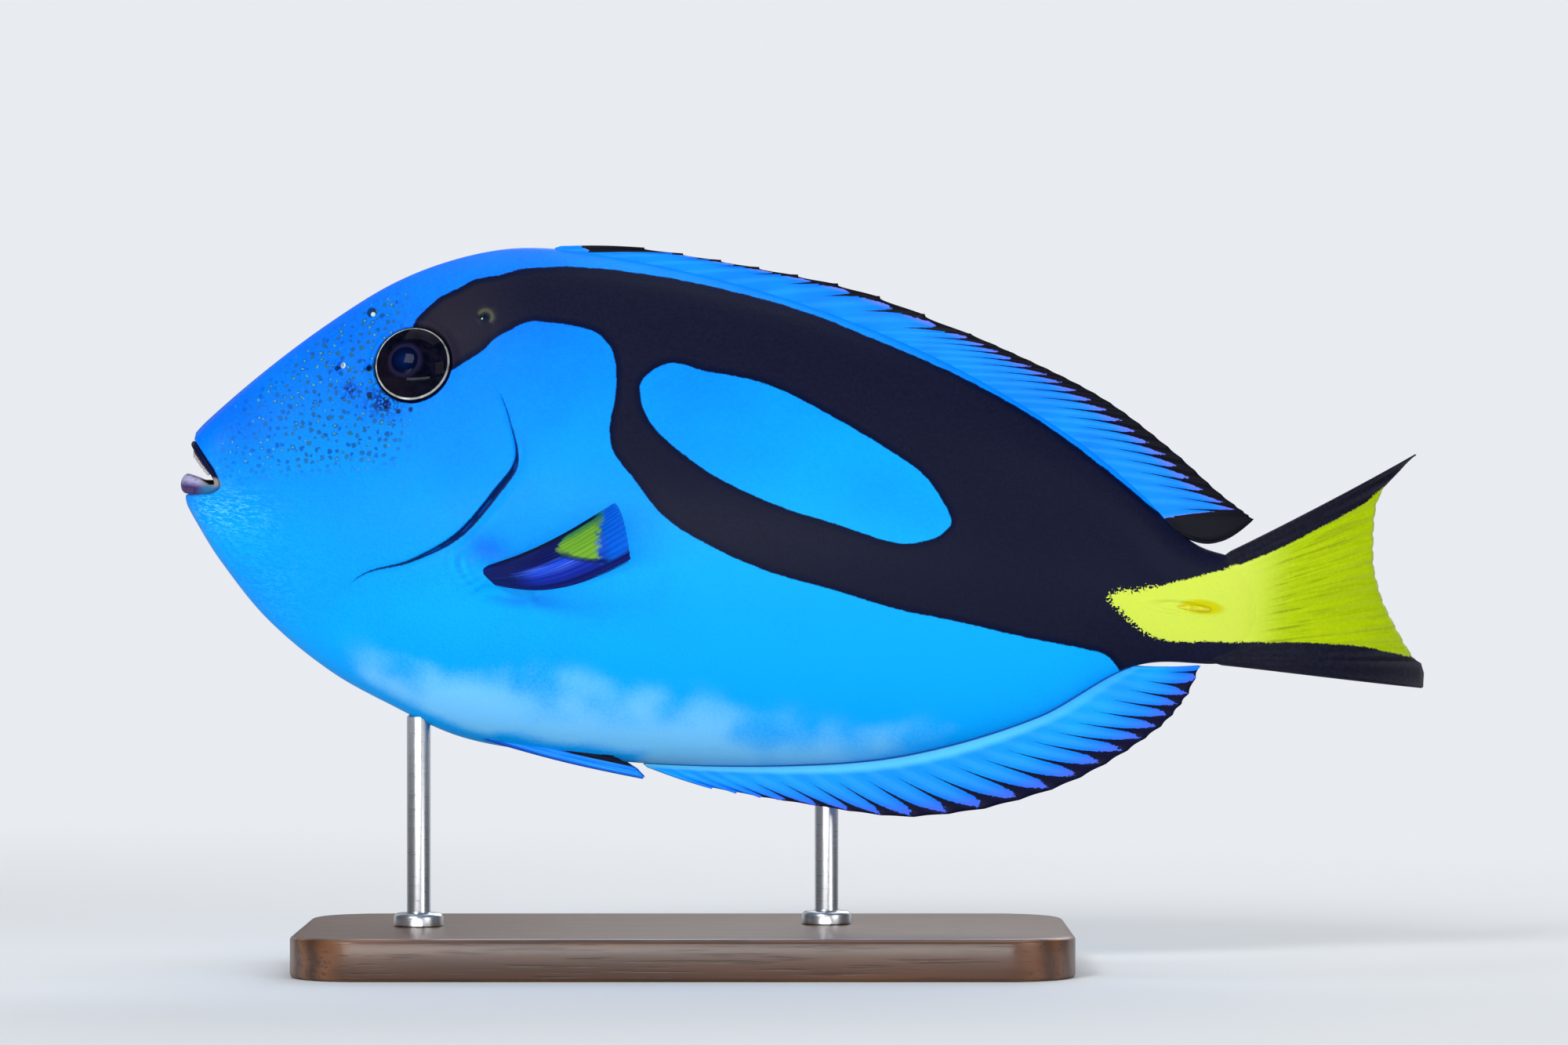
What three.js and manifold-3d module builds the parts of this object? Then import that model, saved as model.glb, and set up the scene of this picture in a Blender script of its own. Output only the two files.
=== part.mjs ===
// A regal blue tang, life size, as it swims with its head a little up and its tail swung aside,
// on a plain display stand. Millimetres, +Z up, origin at the centre of the stand's underside.
// The fish is laid out level, from the snout at x = 0 towards the tail, with its left side at -Y,
// and its group then tips it head up.
import * as THREE from "three";
import { mergeVertices } from "three/addons/utils/BufferGeometryUtils.js";
import Module from "manifold-3d";

const wasm = await Module();
wasm.setup();

// Driving dimensions of the fish
const standardLength = 187; // snout to the end of the tail's flesh
const bodyDepth = 85; // back to belly, without the fins
const bodyWidth = 29; // across the widest place, behind the gill covers
const headUp = THREE.MathUtils.degToRad(7);
const gap = 0.3; // between pieces that touch

// Profiles as [share of the standard length, share of the depth or width]
const backLine = through([
  [0, 0.052], [0.017, 0.104], [0.065, 0.22], [0.116, 0.327], [0.168, 0.419], [0.221, 0.482],
  [0.276, 0.52], [0.334, 0.528], [0.449, 0.511], [0.565, 0.467], [0.684, 0.391], [0.802, 0.275],
  [0.866, 0.184], [0.898, 0.125], [0.93, 0.092], [1, 0.08],
]);
const bellyLine = through([
  [0, -0.04], [0.017, -0.094], [0.044, -0.168], [0.092, -0.271], [0.155, -0.36], [0.214, -0.413],
  [0.274, -0.456], [0.333, -0.468], [0.446, -0.466], [0.583, -0.433], [0.684, -0.384],
  [0.794, -0.28], [0.86, -0.174], [0.893, -0.144], [0.941, -0.134], [1, -0.125],
]);
const sideLine = through([
  [0, 0.18], [0.034, 0.19], [0.064, 0.24], [0.134, 0.359], [0.203, 0.438], [0.278, 0.49],
  [0.342, 0.5], [0.455, 0.476], [0.578, 0.41], [0.695, 0.317], [0.802, 0.217], [0.882, 0.152],
  [0.941, 0.096], [1, 0.044],
]);
const snoutStart = 0.5; // the flesh starts behind the lips
const snoutRound = { tall: 1.2, wide: 5.5 }; // the snout is blunt from the side and round from above
const tailRound = 11; // the flesh ends in a half ellipse this long
const tailEdgeRound = 1.6;
const backSharpness = 1.22; // over 1 narrows the section towards the back
const bellySharpness = 1.08;

// Low swellings of the flanks: the eye's orbit, the hollow cheek, the gill cover and the shoulder
const swellings = [
  { x: 37, z: 22.5, reach: 9, height: 0.9 },
  { x: 23, z: 8, reach: 9, height: -0.7 },
  { x: 46, z: 1, reach: 12, height: 0.5 },
  { x: 62, z: -8, reach: 12, height: -0.4 },
];

// The tail's swing to the far side grows with a power of the distance past the swing's start
const swingStart = 140;
const swingSlope = 0.325; // slope of the mid line at the end of the flesh
const swingPower = 3.66;
const tailTwist = 0.004; // the upper lobe swings further than the lower one

// The gill opening as [x, z], from the throat to the nape, and the front edge of the gill cover
const gillOpening = smooth([
  [22, -44], [26, -24], [32.4, -14.2], [41, -10.3], [48.5, -5], [54, 3], [56.6, 8.6],
  [54.4, 15.5], [51, 22.5], [50, 31], [49.5, 50],
], 26);
const coverFront = smooth([[47.5, 23], [44, 14], [41.5, 4], [36, -6], [29, -13]], 8);
const coverInner = 8; // the gill cover's plate lies outside this distance from the middle
const coverLift = 0.7; // the gill cover's hind edge stands proud of the shoulder
const coverLiftReach = 11;

const trunkEnd = 160;

// The eye
const eyeAt = { x: 37.1, z: 22.5 };
const eyeRadius = 6.9;
const eyeDepth = 4.6;
const eyeBulge = 2.2; // how far the eye stands out of the flank, along the flank's own normal
const orbitRim = { radius: 6.5, tube: 0.55 };

// The mouth, as the front and the corner of each lip's middle line
const mouthHalfWidth = 5;
const upperLip = { front: [0.9, 4.8], corner: [6.4, -0.7], tall: [0.9, 0.5], deep: [0.8, 0.6] };
const lowerLip = { front: [1.2, -2.1], corner: [6.4, -2.6], tall: [1.8, 0.7], deep: [1.2, 0.8] };

// Small close-set teeth along each lip, as their reach forward and up from the lip's middle line
const upperTeeth = { count: 14, reach: [-0.5, -1.9] };
const lowerTeeth = { count: 12, reach: [-0.1, 2.5] };
const tooth = { width: 0.55, thickness: 0.5, arc: 1.75 }; // the row's arc in radians

// The nostrils, each with a raised rim
const nostrilDepth = 1.2;
const nostrils = [
  { x: 25, z: 20.7, radius: 0.8, rim: 0.35 },
  { x: 30, z: 20.9, radius: 0.65, rim: 0.25 },
];

// Fins that stand in the middle plane. base and reach say where each ray starts and how far back
// its tip lies, margin is the height of the tips, notch how far the membrane falls short, and heel
// how far the last ray bows towards the tail.
const dorsalFin = {
  spines: 9,
  rays: 20,
  spineBases: [58, 96],
  rayBases: [99.5, 168.5],
  reach: through([[58, 15], [96, 14], [126, 18.5], [160, 17], [168.5, 12.4]]),
  margin: through([
    [58, 46.8], [74, 47.3], [94, 46], [110, 44.2], [125, 40.4], [144.5, 34.4], [155, 30.2],
    [166.3, 23.5], [174.6, 17.6], [180.9, 13.9],
  ]),
  root: (x) => backLine(x / standardLength) * bodyDepth,
  sunk: -2.2,
  notch: [0.7, 0.25],
  heel: 3,
};
const analFin = {
  spines: 3,
  rays: 19,
  spineBases: [83.5, 91],
  rayBases: [94.5, 163],
  reach: through([[83.5, 12], [113, 15.5], [135, 21], [150, 19], [163, 12]]),
  margin: through([
    [83.5, -41], [95.5, -42.4], [112.9, -43.2], [126.9, -43.4], [134.8, -42.1], [144.3, -39.3],
    [156.9, -33.2], [169, -23.4], [173.4, -17], [175, -11.8],
  ]),
  root: (x) => bellyLine(x / standardLength) * bodyDepth,
  sunk: 2.2,
  notch: [0.5, 0.25],
  heel: 0,
};
const midFinThickness = { ray: [1.5, 0.8], skin: [1.0, 0.55] }; // at the root and at the margin

// The tail fin: the tips of its rays by their share of the way from the top edge to the bottom
const caudalFin = {
  rays: 16,
  centre: [standardLength - tailRound - 0.5, -1.8],
  rootRadii: [9.6, 8.2, 9.8], // backwards, upwards and downwards
  tips: [
    [0, 209.4, 28.8], [0.07, 204.3, 22.7], [0.2, 202.6, 17.2], [0.4, 202.9, 9.7], [0.55, 205.2, 4.6],
    [0.7, 207.9, -0.1], [0.82, 210.7, -4], [0.9, 213.4, -6.5], [0.95, 215.6, -7.7], [1, 216.3, -11.3],
  ],
  ray: [2.6, 0.8],
  skin: [2.2, 0.55],
};

// The left pectoral fin, swept out and back: its root line on the flank and its outermost rays
const pectoralFin = {
  rays: 14,
  root: [[52.6, -9.8], [54.6, -12.8]],
  sunk: 1.6,
  upper: { direction: [21.7, -23.3, 13.9], length: 34.7, sag: 1.2 },
  lower: { direction: [23.6, -11.5, 6.6], length: 27.1, sag: 3 },
  roundness: 0.05, // how much longer the middle rays are than the line between the outer ones
  camber: 1.6,
  ray: [1.7, 0.7],
  skin: [1.3, 0.5],
};

// The left pelvic fin, folded back against the belly
const pelvicFin = {
  rays: 4,
  root: [[55, -38.2], [62.5, -37.3]],
  rootSide: 2.1,
  tips: [[84, -42], [82.6, -40.8], [80.8, -39.9], [78.5, -39]],
  tipSide: 2.6,
  sag: 0.5,
  ray: [1.5, 0.9],
  skin: [1.1, 0.55],
};

// The scalpel, a blade that lies in a slot on each side of the tail and points forward
const scalpel = { x: 170.5, z: -2.3, length: 9.5, height: 1.9, thickness: 1.8, proud: 0.45 };

// The stand
const base = { length: 130, width: 66, thickness: 7, corner: 12, bevel: 0.8 };
const rod = { radius: 2, collarRadius: 4.2, collarHeight: 2.2, sides: 20 };
const rods = { front: { x: -45, y: 0 }, rear: { x: 24, y: 5.6 } };
const snoutPlace = { x: -85, z: 84 }; // the snout over the stand's centre

// Colours
const colours = {
  blue: material(0x0a86ff, 0.5),
  navy: material(0x14162c, 0.5),
  yellow: material(0xd6e01a, 0.5),
  eye: material(0x07070c, 0.08),
  lip: material(0x7d86b8, 0.4),
  wood: material(0x4a2d1c, 0.5),
  steel: material(0xb9bcc0, 0.3, 1),
};

function material(color, roughness, metalness = 0) {
  return new THREE.MeshStandardMaterial({ color, roughness, metalness });
}

// Evenly spaced points on a smooth line through the given ones
function smooth(points, steps) {
  const curve = new THREE.SplineCurve(points.map((p) => new THREE.Vector2(...p)));
  return curve.getSpacedPoints(steps).map((p) => p.toArray());
}

// A smooth curve through [x, y] points, as a function of x
function through(points) {
  const slope = points.map((p, i) => {
    const a = points[Math.max(i - 1, 0)];
    const b = points[Math.min(i + 1, points.length - 1)];
    return (b[1] - a[1]) / (b[0] - a[0]);
  });
  return (x) => {
    const last = points.length - 2;
    let i = points.findIndex((p) => p[0] > x) - 1;
    if (x <= points[0][0]) i = 0;
    else if (i < 0 || i > last) i = last;
    const span = points[i + 1][0] - points[i][0];
    const t = THREE.MathUtils.clamp((x - points[i][0]) / span, 0, 1);
    const rise = points[i + 1][1] - points[i][1];
    const a = slope[i] * span - rise;
    const b = rise - slope[i + 1] * span;
    return points[i][1] + rise * t + t * (1 - t) * (a * (1 - t) + b * t);
  };
}

function mix(a, b, t) {
  return a + (b - a) * t;
}

// Moves a point of the straight fish to where the swung tail has it
function swing(x, y, z) {
  const past = Math.max(x - swingStart, 0) / (standardLength - swingStart);
  const slope = swingSlope * past ** swingPower;
  const twist = tailTwist * (z + 2) * Math.max(x - 178, 0);
  const side = (slope * past * (standardLength - swingStart)) / (swingPower + 1) + twist;
  const turn = Math.atan(slope);
  return [x - y * Math.sin(turn), side + y * Math.cos(turn), z];
}

// A closed solid from vertices and triangles
function solid(vertices, triangles) {
  const geometry = new THREE.BufferGeometry();
  geometry.setAttribute("position", new THREE.Float32BufferAttribute(vertices.flat(), 3));
  geometry.setIndex(triangles.flat());
  return solidOf(geometry);
}

function solidOf(source) {
  const geometry = source.clone();
  geometry.deleteAttribute("normal");
  geometry.deleteAttribute("uv");
  const merged = mergeVertices(geometry, 1e-4);
  const made = new wasm.Manifold(
    new wasm.Mesh({
      numProp: 3,
      vertProperties: new Float32Array(merged.attributes.position.array),
      triVerts: new Uint32Array(merged.index.array),
    }),
  );
  return largest(made);
}

function largest(shape) {
  const pieces = shape.decompose();
  return pieces.reduce((a, b) => (b.volume() > a.volume() ? b : a));
}

function mesh(name, shape, finish) {
  const found = largest(shape).getMesh();
  const positions = [];
  for (let i = 0; i < found.numVert; i++) {
    positions.push(...found.vertProperties.slice(i * found.numProp, i * found.numProp + 3));
  }
  const geometry = new THREE.BufferGeometry();
  geometry.setAttribute("position", new THREE.Float32BufferAttribute(positions, 3));
  geometry.setIndex([...found.triVerts]);
  geometry.computeVertexNormals();
  const made = new THREE.Mesh(geometry, finish);
  made.name = name;
  return made;
}

// The opening's distance from a point, for the lift of the gill cover
function gillDistance(x, z) {
  let nearest = Infinity;
  for (let i = 0; i + 1 < gillOpening.length; i++) {
    const [ax, az] = gillOpening[i];
    const [bx, bz] = gillOpening[i + 1];
    const along = ((x - ax) * (bx - ax) + (z - az) * (bz - az)) / ((bx - ax) ** 2 + (bz - az) ** 2);
    const t = THREE.MathUtils.clamp(along, 0, 1);
    nearest = Math.min(nearest, Math.hypot(x - mix(ax, bx, t), z - mix(az, bz, t)));
  }
  return nearest;
}

// A point of the skin: angle -90 degrees is the belly, 90 the back, and side -1 or 1 the flank
function skinPoint(x, angle, side, grown, lift) {
  const share = x / standardLength;
  const [noseHeight, noseWidth] = [snoutRound.tall, snoutRound.wide].map((length) => {
    const front = THREE.MathUtils.clamp((x - snoutStart) / length, 0, 1);
    return Math.sqrt(1 - (1 - front) ** 2);
  });
  const hind = THREE.MathUtils.clamp((x - standardLength + tailRound) / tailRound, 0, 1);
  const edge = THREE.MathUtils.clamp((x - standardLength + tailEdgeRound) / tailEdgeRound, 0, 1);
  const back = backLine(share) * bodyDepth;
  const belly = bellyLine(share) * bodyDepth;
  const halfHeight = ((back - belly) / 2) * noseHeight * Math.sqrt(1 - hind ** 2) + grown;
  const halfWidth = sideLine(share) * bodyWidth * noseWidth * Math.sqrt(1 - edge ** 2) + grown;
  const z = (back + belly) / 2 + halfHeight * Math.sin(angle);
  const sharpness = angle > 0 ? backSharpness : bellySharpness;
  const spread = Math.max(Math.cos(angle), 0) ** sharpness;
  let y = halfWidth * spread;
  for (const s of swellings) {
    y += s.height * spread * Math.exp(-((x - s.x) ** 2 + (z - s.z) ** 2) / s.reach ** 2);
  }
  if (lift) y += coverLift * spread * Math.max(0, 1 - gillDistance(x, z) / coverLiftReach);
  return [x, side * y, z];
}

// Stations along the body, closer together where the outline is steep
function stations() {
  const list = [0.06, 0.35, 1, 2, 3.2].map((x) => snoutStart + x);
  for (let x = 5; x < 60; x += 2.75) list.push(x);
  for (let x = 60; x < standardLength - tailRound; x += 5) list.push(x);
  for (const share of [0, 0.35, 0.6, 0.8, 0.93, 0.99]) {
    list.push(standardLength - tailRound * (1 - share));
  }
  return list;
}

// The whole body as one solid, grown outwards by a distance
function bodySolid(grown = 0, lift = false) {
  const around = 14; // steps from the belly to the back on each side
  const vertices = [];
  const triangles = [];
  const rings = stations();
  for (const x of rings) {
    for (let k = 0; k < 2 * around; k++) {
      const side = k <= around ? -1 : 1;
      const step = k <= around ? k : 2 * around - k;
      const angle = Math.PI * (step / around - 0.5);
      vertices.push(swing(...skinPoint(x, angle, side, grown, lift)));
    }
  }
  const ring = 2 * around;
  for (let i = 0; i + 1 < rings.length; i++) {
    for (let k = 0; k < ring; k++) {
      const a = i * ring + k;
      const b = i * ring + ((k + 1) % ring);
      triangles.push([a, a + ring, b], [b, a + ring, b + ring]);
    }
  }
  const middle = (x) => ((backLine(x / standardLength) + bellyLine(x / standardLength)) / 2) * bodyDepth;
  const noseTip = vertices.push(swing(snoutStart - grown, 0, middle(0))) - 1;
  const tailTip = vertices.push(swing(standardLength + grown, 0, middle(standardLength))) - 1;
  const lastRing = (rings.length - 1) * ring;
  for (let k = 0; k < ring; k++) {
    const next = (k + 1) % ring;
    triangles.push([noseTip, k, next], [tailTip, lastRing + next, lastRing + k]);
  }
  return solid(vertices, triangles);
}

// A closed plate from a grid of middle points, each with its two faces, split alike on both
function plate(columns, rows, faces) {
  const vertices = [];
  for (let i = 0; i < columns; i++) {
    for (let j = 0; j < rows; j++) vertices.push(...faces(i, j));
  }
  const at = (i, j, face) => (i * rows + j) * 2 + face;
  const triangles = [];
  const quad = (a, b, c, d) => triangles.push([a, b, c], [a, c, d]);
  for (let i = 0; i + 1 < columns; i++) {
    for (let j = 0; j + 1 < rows; j++) {
      quad(at(i, j, 0), at(i + 1, j, 0), at(i + 1, j + 1, 0), at(i, j + 1, 0));
      triangles.push([at(i, j, 1), at(i + 1, j + 1, 1), at(i + 1, j, 1)]);
      triangles.push([at(i, j, 1), at(i, j + 1, 1), at(i + 1, j + 1, 1)]);
    }
  }
  for (let i = 0; i + 1 < columns; i++) {
    const last = rows - 1;
    quad(at(i, 0, 0), at(i, 0, 1), at(i + 1, 0, 1), at(i + 1, 0, 0));
    quad(at(i, last, 0), at(i + 1, last, 0), at(i + 1, last, 1), at(i, last, 1));
  }
  for (let j = 0; j + 1 < rows; j++) {
    const last = columns - 1;
    quad(at(0, j, 0), at(0, j + 1, 0), at(0, j + 1, 1), at(0, j, 1));
    quad(at(last, j, 0), at(last, j, 1), at(last, j + 1, 1), at(last, j + 1, 0));
  }
  const made = solidFacingOut(vertices, triangles);
  return made;
}

// The same solid whichever way round its triangles were listed
function solidFacingOut(vertices, triangles) {
  let volume = 0;
  for (const [a, b, c] of triangles) {
    const [p, q, r] = [a, b, c].map((k) => new THREE.Vector3(...vertices[k]));
    volume += p.dot(q.cross(r));
  }
  return solid(vertices, volume < 0 ? triangles.map(([a, b, c]) => [a, c, b]) : triangles);
}

// Half the thickness of a fin at a column, even columns being rays and odd ones the skin between
function halfThickness(sizes, column, along) {
  const [root, margin] = column % 2 ? sizes.skin : sizes.ray;
  return mix(root, margin, Math.sqrt(along)) / 2;
}

// A fin in the middle plane, with a ridge along each ray and notches in the skin between tips
function midPlaneFin(fin) {
  const count = fin.spines + fin.rays;
  const rows = 6;
  const baseOf = (n) => {
    if (n <= fin.spines - 1) return mix(...fin.spineBases, n / (fin.spines - 1));
    if (n < fin.spines) return mix(fin.spineBases[1], fin.rayBases[0], n - fin.spines + 1);
    return mix(...fin.rayBases, (n - fin.spines) / (fin.rays - 1));
  };
  return plate(2 * count - 1, rows, (i, j) => {
    const n = i / 2;
    const rootX = baseOf(n);
    const rootZ = fin.root(rootX);
    const tipX = rootX + fin.reach(rootX);
    const tipZ = fin.margin(tipX);
    const along = j === 0 ? 0 : (j - 1) / (rows - 2);
    const short = i % 2 ? fin.notch[n < fin.spines ? 0 : 1] : 0;
    const length = Math.hypot(tipX - rootX, tipZ - rootZ);
    const reached = along * (1 - short / length);
    const bow = fin.heel * Math.max(n - count + 2, 0) * Math.sin(Math.PI * along);
    const x = mix(rootX, tipX, reached);
    const z = j === 0 ? rootZ + fin.sunk : mix(rootZ, tipZ, reached) - bow;
    const half = halfThickness(midFinThickness, i, along);
    return [swing(x, -half, z), swing(x, half, z)];
  });
}

function tailFin(fin) {
  const rows = 7;
  const tipX = through(fin.tips.map(([u, x]) => [u, x]));
  const tipZ = through(fin.tips.map(([u, , z]) => [u, z]));
  const columns = 2 * fin.rays - 1;
  return plate(columns, rows, (i, j) => {
    const u = i / (columns - 1);
    const angle = Math.PI * (0.5 - u);
    const rootX = fin.centre[0] + fin.rootRadii[0] * Math.cos(angle);
    const rootZ = fin.centre[1] + fin.rootRadii[angle > 0 ? 1 : 2] * Math.sin(angle);
    const along = j / (rows - 1);
    const x = mix(rootX, tipX(u), along);
    const z = mix(rootZ, tipZ(u), along);
    const half = halfThickness(fin, i, along);
    return [swing(x, -half, z), swing(x, half, z)];
  });
}

// The skin's distance from the middle plane at a place seen from the side
function flankAt(x, z) {
  let low = -Math.PI / 2;
  let high = Math.PI / 2;
  for (let k = 0; k < 30; k++) {
    const middle = (low + high) / 2;
    if (skinPoint(x, middle, 1, 0, false)[2] < z) low = middle;
    else high = middle;
  }
  return skinPoint(x, low, 1, 0, false)[1];
}

function pectoral(fin, side) {
  const rows = 6;
  const columns = 2 * fin.rays - 1;
  const upper = new THREE.Vector3(...fin.upper.direction).setLength(fin.upper.length);
  const lower = new THREE.Vector3(...fin.lower.direction).setLength(fin.lower.length);
  const across = new THREE.Vector3().crossVectors(upper, lower).normalize();
  return plate(columns, rows, (i, j) => {
    const u = i / (columns - 1);
    const x = mix(fin.root[0][0], fin.root[1][0], u);
    const z = mix(fin.root[0][1], fin.root[1][1], u);
    const start = new THREE.Vector3(x, fin.sunk - flankAt(x, z), z);
    const round = 1 + fin.roundness * Math.sin(Math.PI * u);
    const ray = upper.clone().lerp(lower, u).multiplyScalar(round);
    const along = j / (rows - 1);
    const point = start.addScaledVector(ray, along);
    point.addScaledVector(across, fin.camber * Math.sin(Math.PI * u) * along * along);
    point.z -= mix(fin.upper.sag, fin.lower.sag, u) * Math.sin(Math.PI * along);
    const half = halfThickness(fin, i, along);
    return [-half, half].map((h) => {
      const p = point.clone().addScaledVector(across, h);
      return [p.x, -side * p.y, p.z];
    });
  });
}

function pelvic(fin, side) {
  const rows = 6;
  const columns = 2 * fin.rays - 1;
  return plate(columns, rows, (i, j) => {
    const u = i / (columns - 1);
    const n = Math.min(Math.floor(i / 2), fin.rays - 2);
    const t = i / 2 - n;
    const tipX = mix(fin.tips[n][0], fin.tips[n + 1][0], t);
    const tipZ = mix(fin.tips[n][1], fin.tips[n + 1][1], t);
    const along = j / (rows - 1);
    const x = mix(mix(fin.root[0][0], fin.root[1][0], u), tipX, along);
    const sag = fin.sag * Math.sin(Math.PI * along) * (1 - u);
    const z = mix(mix(fin.root[0][1], fin.root[1][1], u), tipZ, along) - sag;
    const y = mix(fin.rootSide, fin.tipSide, along);
    const half = halfThickness(fin, i, along);
    return [[x, side * (y - half), z], [x, side * (y + half), z]];
  });
}

// A ball flattened along the flank's normal, standing out of the flank by the bulge
function flankBall(x, z, side, radius, depth, bulge, steps) {
  const step = 1;
  const rise = [flankAt(x + step, z) - flankAt(x - step, z), flankAt(x, z + step) - flankAt(x, z - step)];
  const normal = new THREE.Vector3(-rise[0], 2 * step * side, -rise[1]).normalize();
  const geometry = new THREE.SphereGeometry(1, steps, Math.round(steps * 0.6));
  geometry.scale(radius, depth, radius);
  const turn = new THREE.Quaternion().setFromUnitVectors(new THREE.Vector3(0, 1, 0), normal);
  geometry.applyQuaternion(turn);
  const centre = new THREE.Vector3(x, side * flankAt(x, z), z);
  centre.addScaledVector(normal, bulge);
  geometry.translate(...centre.toArray());
  return solidOf(geometry);
}

// A prism through the whole body, from an outline seen from the side
function prism(outline, from = -bodyWidth, to = bodyWidth) {
  const shape = new THREE.Shape(outline.map(([x, z]) => new THREE.Vector2(x, z)));
  const geometry = new THREE.ExtrudeGeometry(shape, { depth: to - from, bevelEnabled: false });
  geometry.rotateX(Math.PI / 2); // the outline's height becomes z, and the prism runs to -Y
  geometry.translate(0, to, 0);
  return solidOf(geometry);
}

// The outline of a thin strip along a line
function strip(line, width) {
  const offset = (distance) =>
    line.map(([x, z], i) => {
      const a = line[Math.max(i - 1, 0)];
      const b = line[Math.min(i + 1, line.length - 1)];
      const length = Math.hypot(b[0] - a[0], b[1] - a[1]);
      return [x + (distance * (b[1] - a[1])) / length, z - (distance * (b[0] - a[0])) / length];
    });
  return [...offset(width / 2), ...offset(-width / 2).reverse()];
}

// A solid through rings of points, each ring with the same number, closed flat at both ends
function stack(vertices, sides) {
  const triangles = [];
  const last = vertices.length - sides;
  for (let i = 0; i < last; i += sides) {
    for (let k = 0; k < sides; k++) {
      const a = i + k;
      const b = i + ((k + 1) % sides);
      triangles.push([a, b, a + sides], [b, b + sides, a + sides]);
    }
  }
  for (let k = 1; k + 1 < sides; k++) triangles.push([0, k + 1, k], [last, last + k, last + k + 1]);
  return solidFacingOut(vertices, triangles);
}

// A point of a lip's middle line: turn 0 is the front, and a right angle either way a corner
function lipMiddle(sizes, turn) {
  const toCorner = 1 - Math.cos(turn);
  const x = mix(sizes.front[0], sizes.corner[0], toCorner);
  const z = mix(sizes.front[1], sizes.corner[1], toCorner);
  return [x, mouthHalfWidth * Math.sin(turn), z];
}

// A lip: a round bar from one corner of the mouth round the front to the other
function lip(sizes, grown = 0) {
  const steps = 16;
  const sides = 8;
  const vertices = [];
  for (let i = 0; i <= steps; i++) {
    const turn = Math.PI * (i / steps - 0.5);
    const [x, y, z] = lipMiddle(sizes, turn);
    const tall = mix(...sizes.tall, 1 - Math.cos(turn)) + grown;
    const deep = mix(...sizes.deep, 1 - Math.cos(turn)) + grown;
    for (let k = 0; k < sides; k++) {
      const around = (2 * Math.PI * k) / sides;
      const out = deep * Math.cos(around);
      const up = tall * Math.sin(around);
      vertices.push([x - out * Math.cos(turn), y + out * Math.sin(turn), z + up]);
    }
  }
  return stack(vertices, sides);
}

// A lip with its row of teeth: flat wedges rooted in the lip's middle, shorter towards the corners
function toothedLip(sizes, row) {
  let made = lip(sizes);
  for (let i = 0; i < row.count; i++) {
    const turn = tooth.arc * ((i + 0.5) / row.count - 0.5);
    const [x, y, z] = lipMiddle(sizes, turn);
    const reach = row.reach.map((r) => r * Math.cos(turn));
    const wedge = [];
    for (const [along, width] of [[0, 1], [0.6, 0.9], [1, 0.55]]) {
      for (const [a, b] of [[-1, -1], [1, -1], [1, 1], [-1, 1]]) {
        const aside = (a * width * tooth.width) / 2;
        const out = (b * width * tooth.thickness) / 2 - reach[0] * along;
        wedge.push([
          x + aside * Math.sin(turn) - out * Math.cos(turn),
          y + aside * Math.cos(turn) + out * Math.sin(turn),
          z + reach[1] * along,
        ]);
      }
    }
    made = made.add(stack(wedge, 4));
  }
  return made;
}

// A ring lying on the flank
function flankRing(x, z, radius, tube, side, steps) {
  const geometry = new THREE.TorusGeometry(radius, tube, 5, steps);
  geometry.rotateX(Math.PI / 2);
  geometry.translate(x, 0, z);
  const places = geometry.attributes.position;
  for (let i = 0; i < places.count; i++) {
    const y = flankAt(places.getX(i), places.getZ(i));
    places.setY(i, side * (y + places.getY(i)));
  }
  if (side < 0) geometry.index.array.reverse();
  return solidOf(geometry);
}

function scalpelSolid(side, grown = 0) {
  const y = side * (flankAt(scalpel.x, scalpel.z) + scalpel.proud - scalpel.thickness / 2);
  const geometry = new THREE.SphereGeometry(1, 12, 8);
  const radii = [scalpel.length, scalpel.thickness, scalpel.height].map((s) => s / 2 + grown);
  geometry.scale(...radii);
  geometry.translate(scalpel.x, y, scalpel.z);
  const places = geometry.attributes.position;
  for (let i = 0; i < places.count; i++) {
    places.setXYZ(i, ...swing(places.getX(i), places.getY(i), places.getZ(i)));
  }
  return solidOf(geometry);
}

const fish = new THREE.Group();
fish.rotation.y = headUp;
fish.position.set(snoutPlace.x, 0, snoutPlace.z);
fish.updateMatrixWorld();

const clearBody = bodySolid(gap);
const gillCut = prism(strip(gillOpening, gap));
const trunkCut = prism(strip([[trunkEnd, -60], [trunkEnd, 60]], gap));

// The body in three lengths
const frontToBack = (a, b) => a.boundingBox().min[0] - b.boundingBox().min[0];
const plainLengths = bodySolid().subtract(gillCut).subtract(trunkCut).decompose().sort(frontToBack);
const liftedLengths = bodySolid(0, true).subtract(gillCut).decompose().sort(frontToBack);
let head = liftedLengths[0];
const trunk = plainLengths[1];
let peduncle = plainLengths[2];

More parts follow.
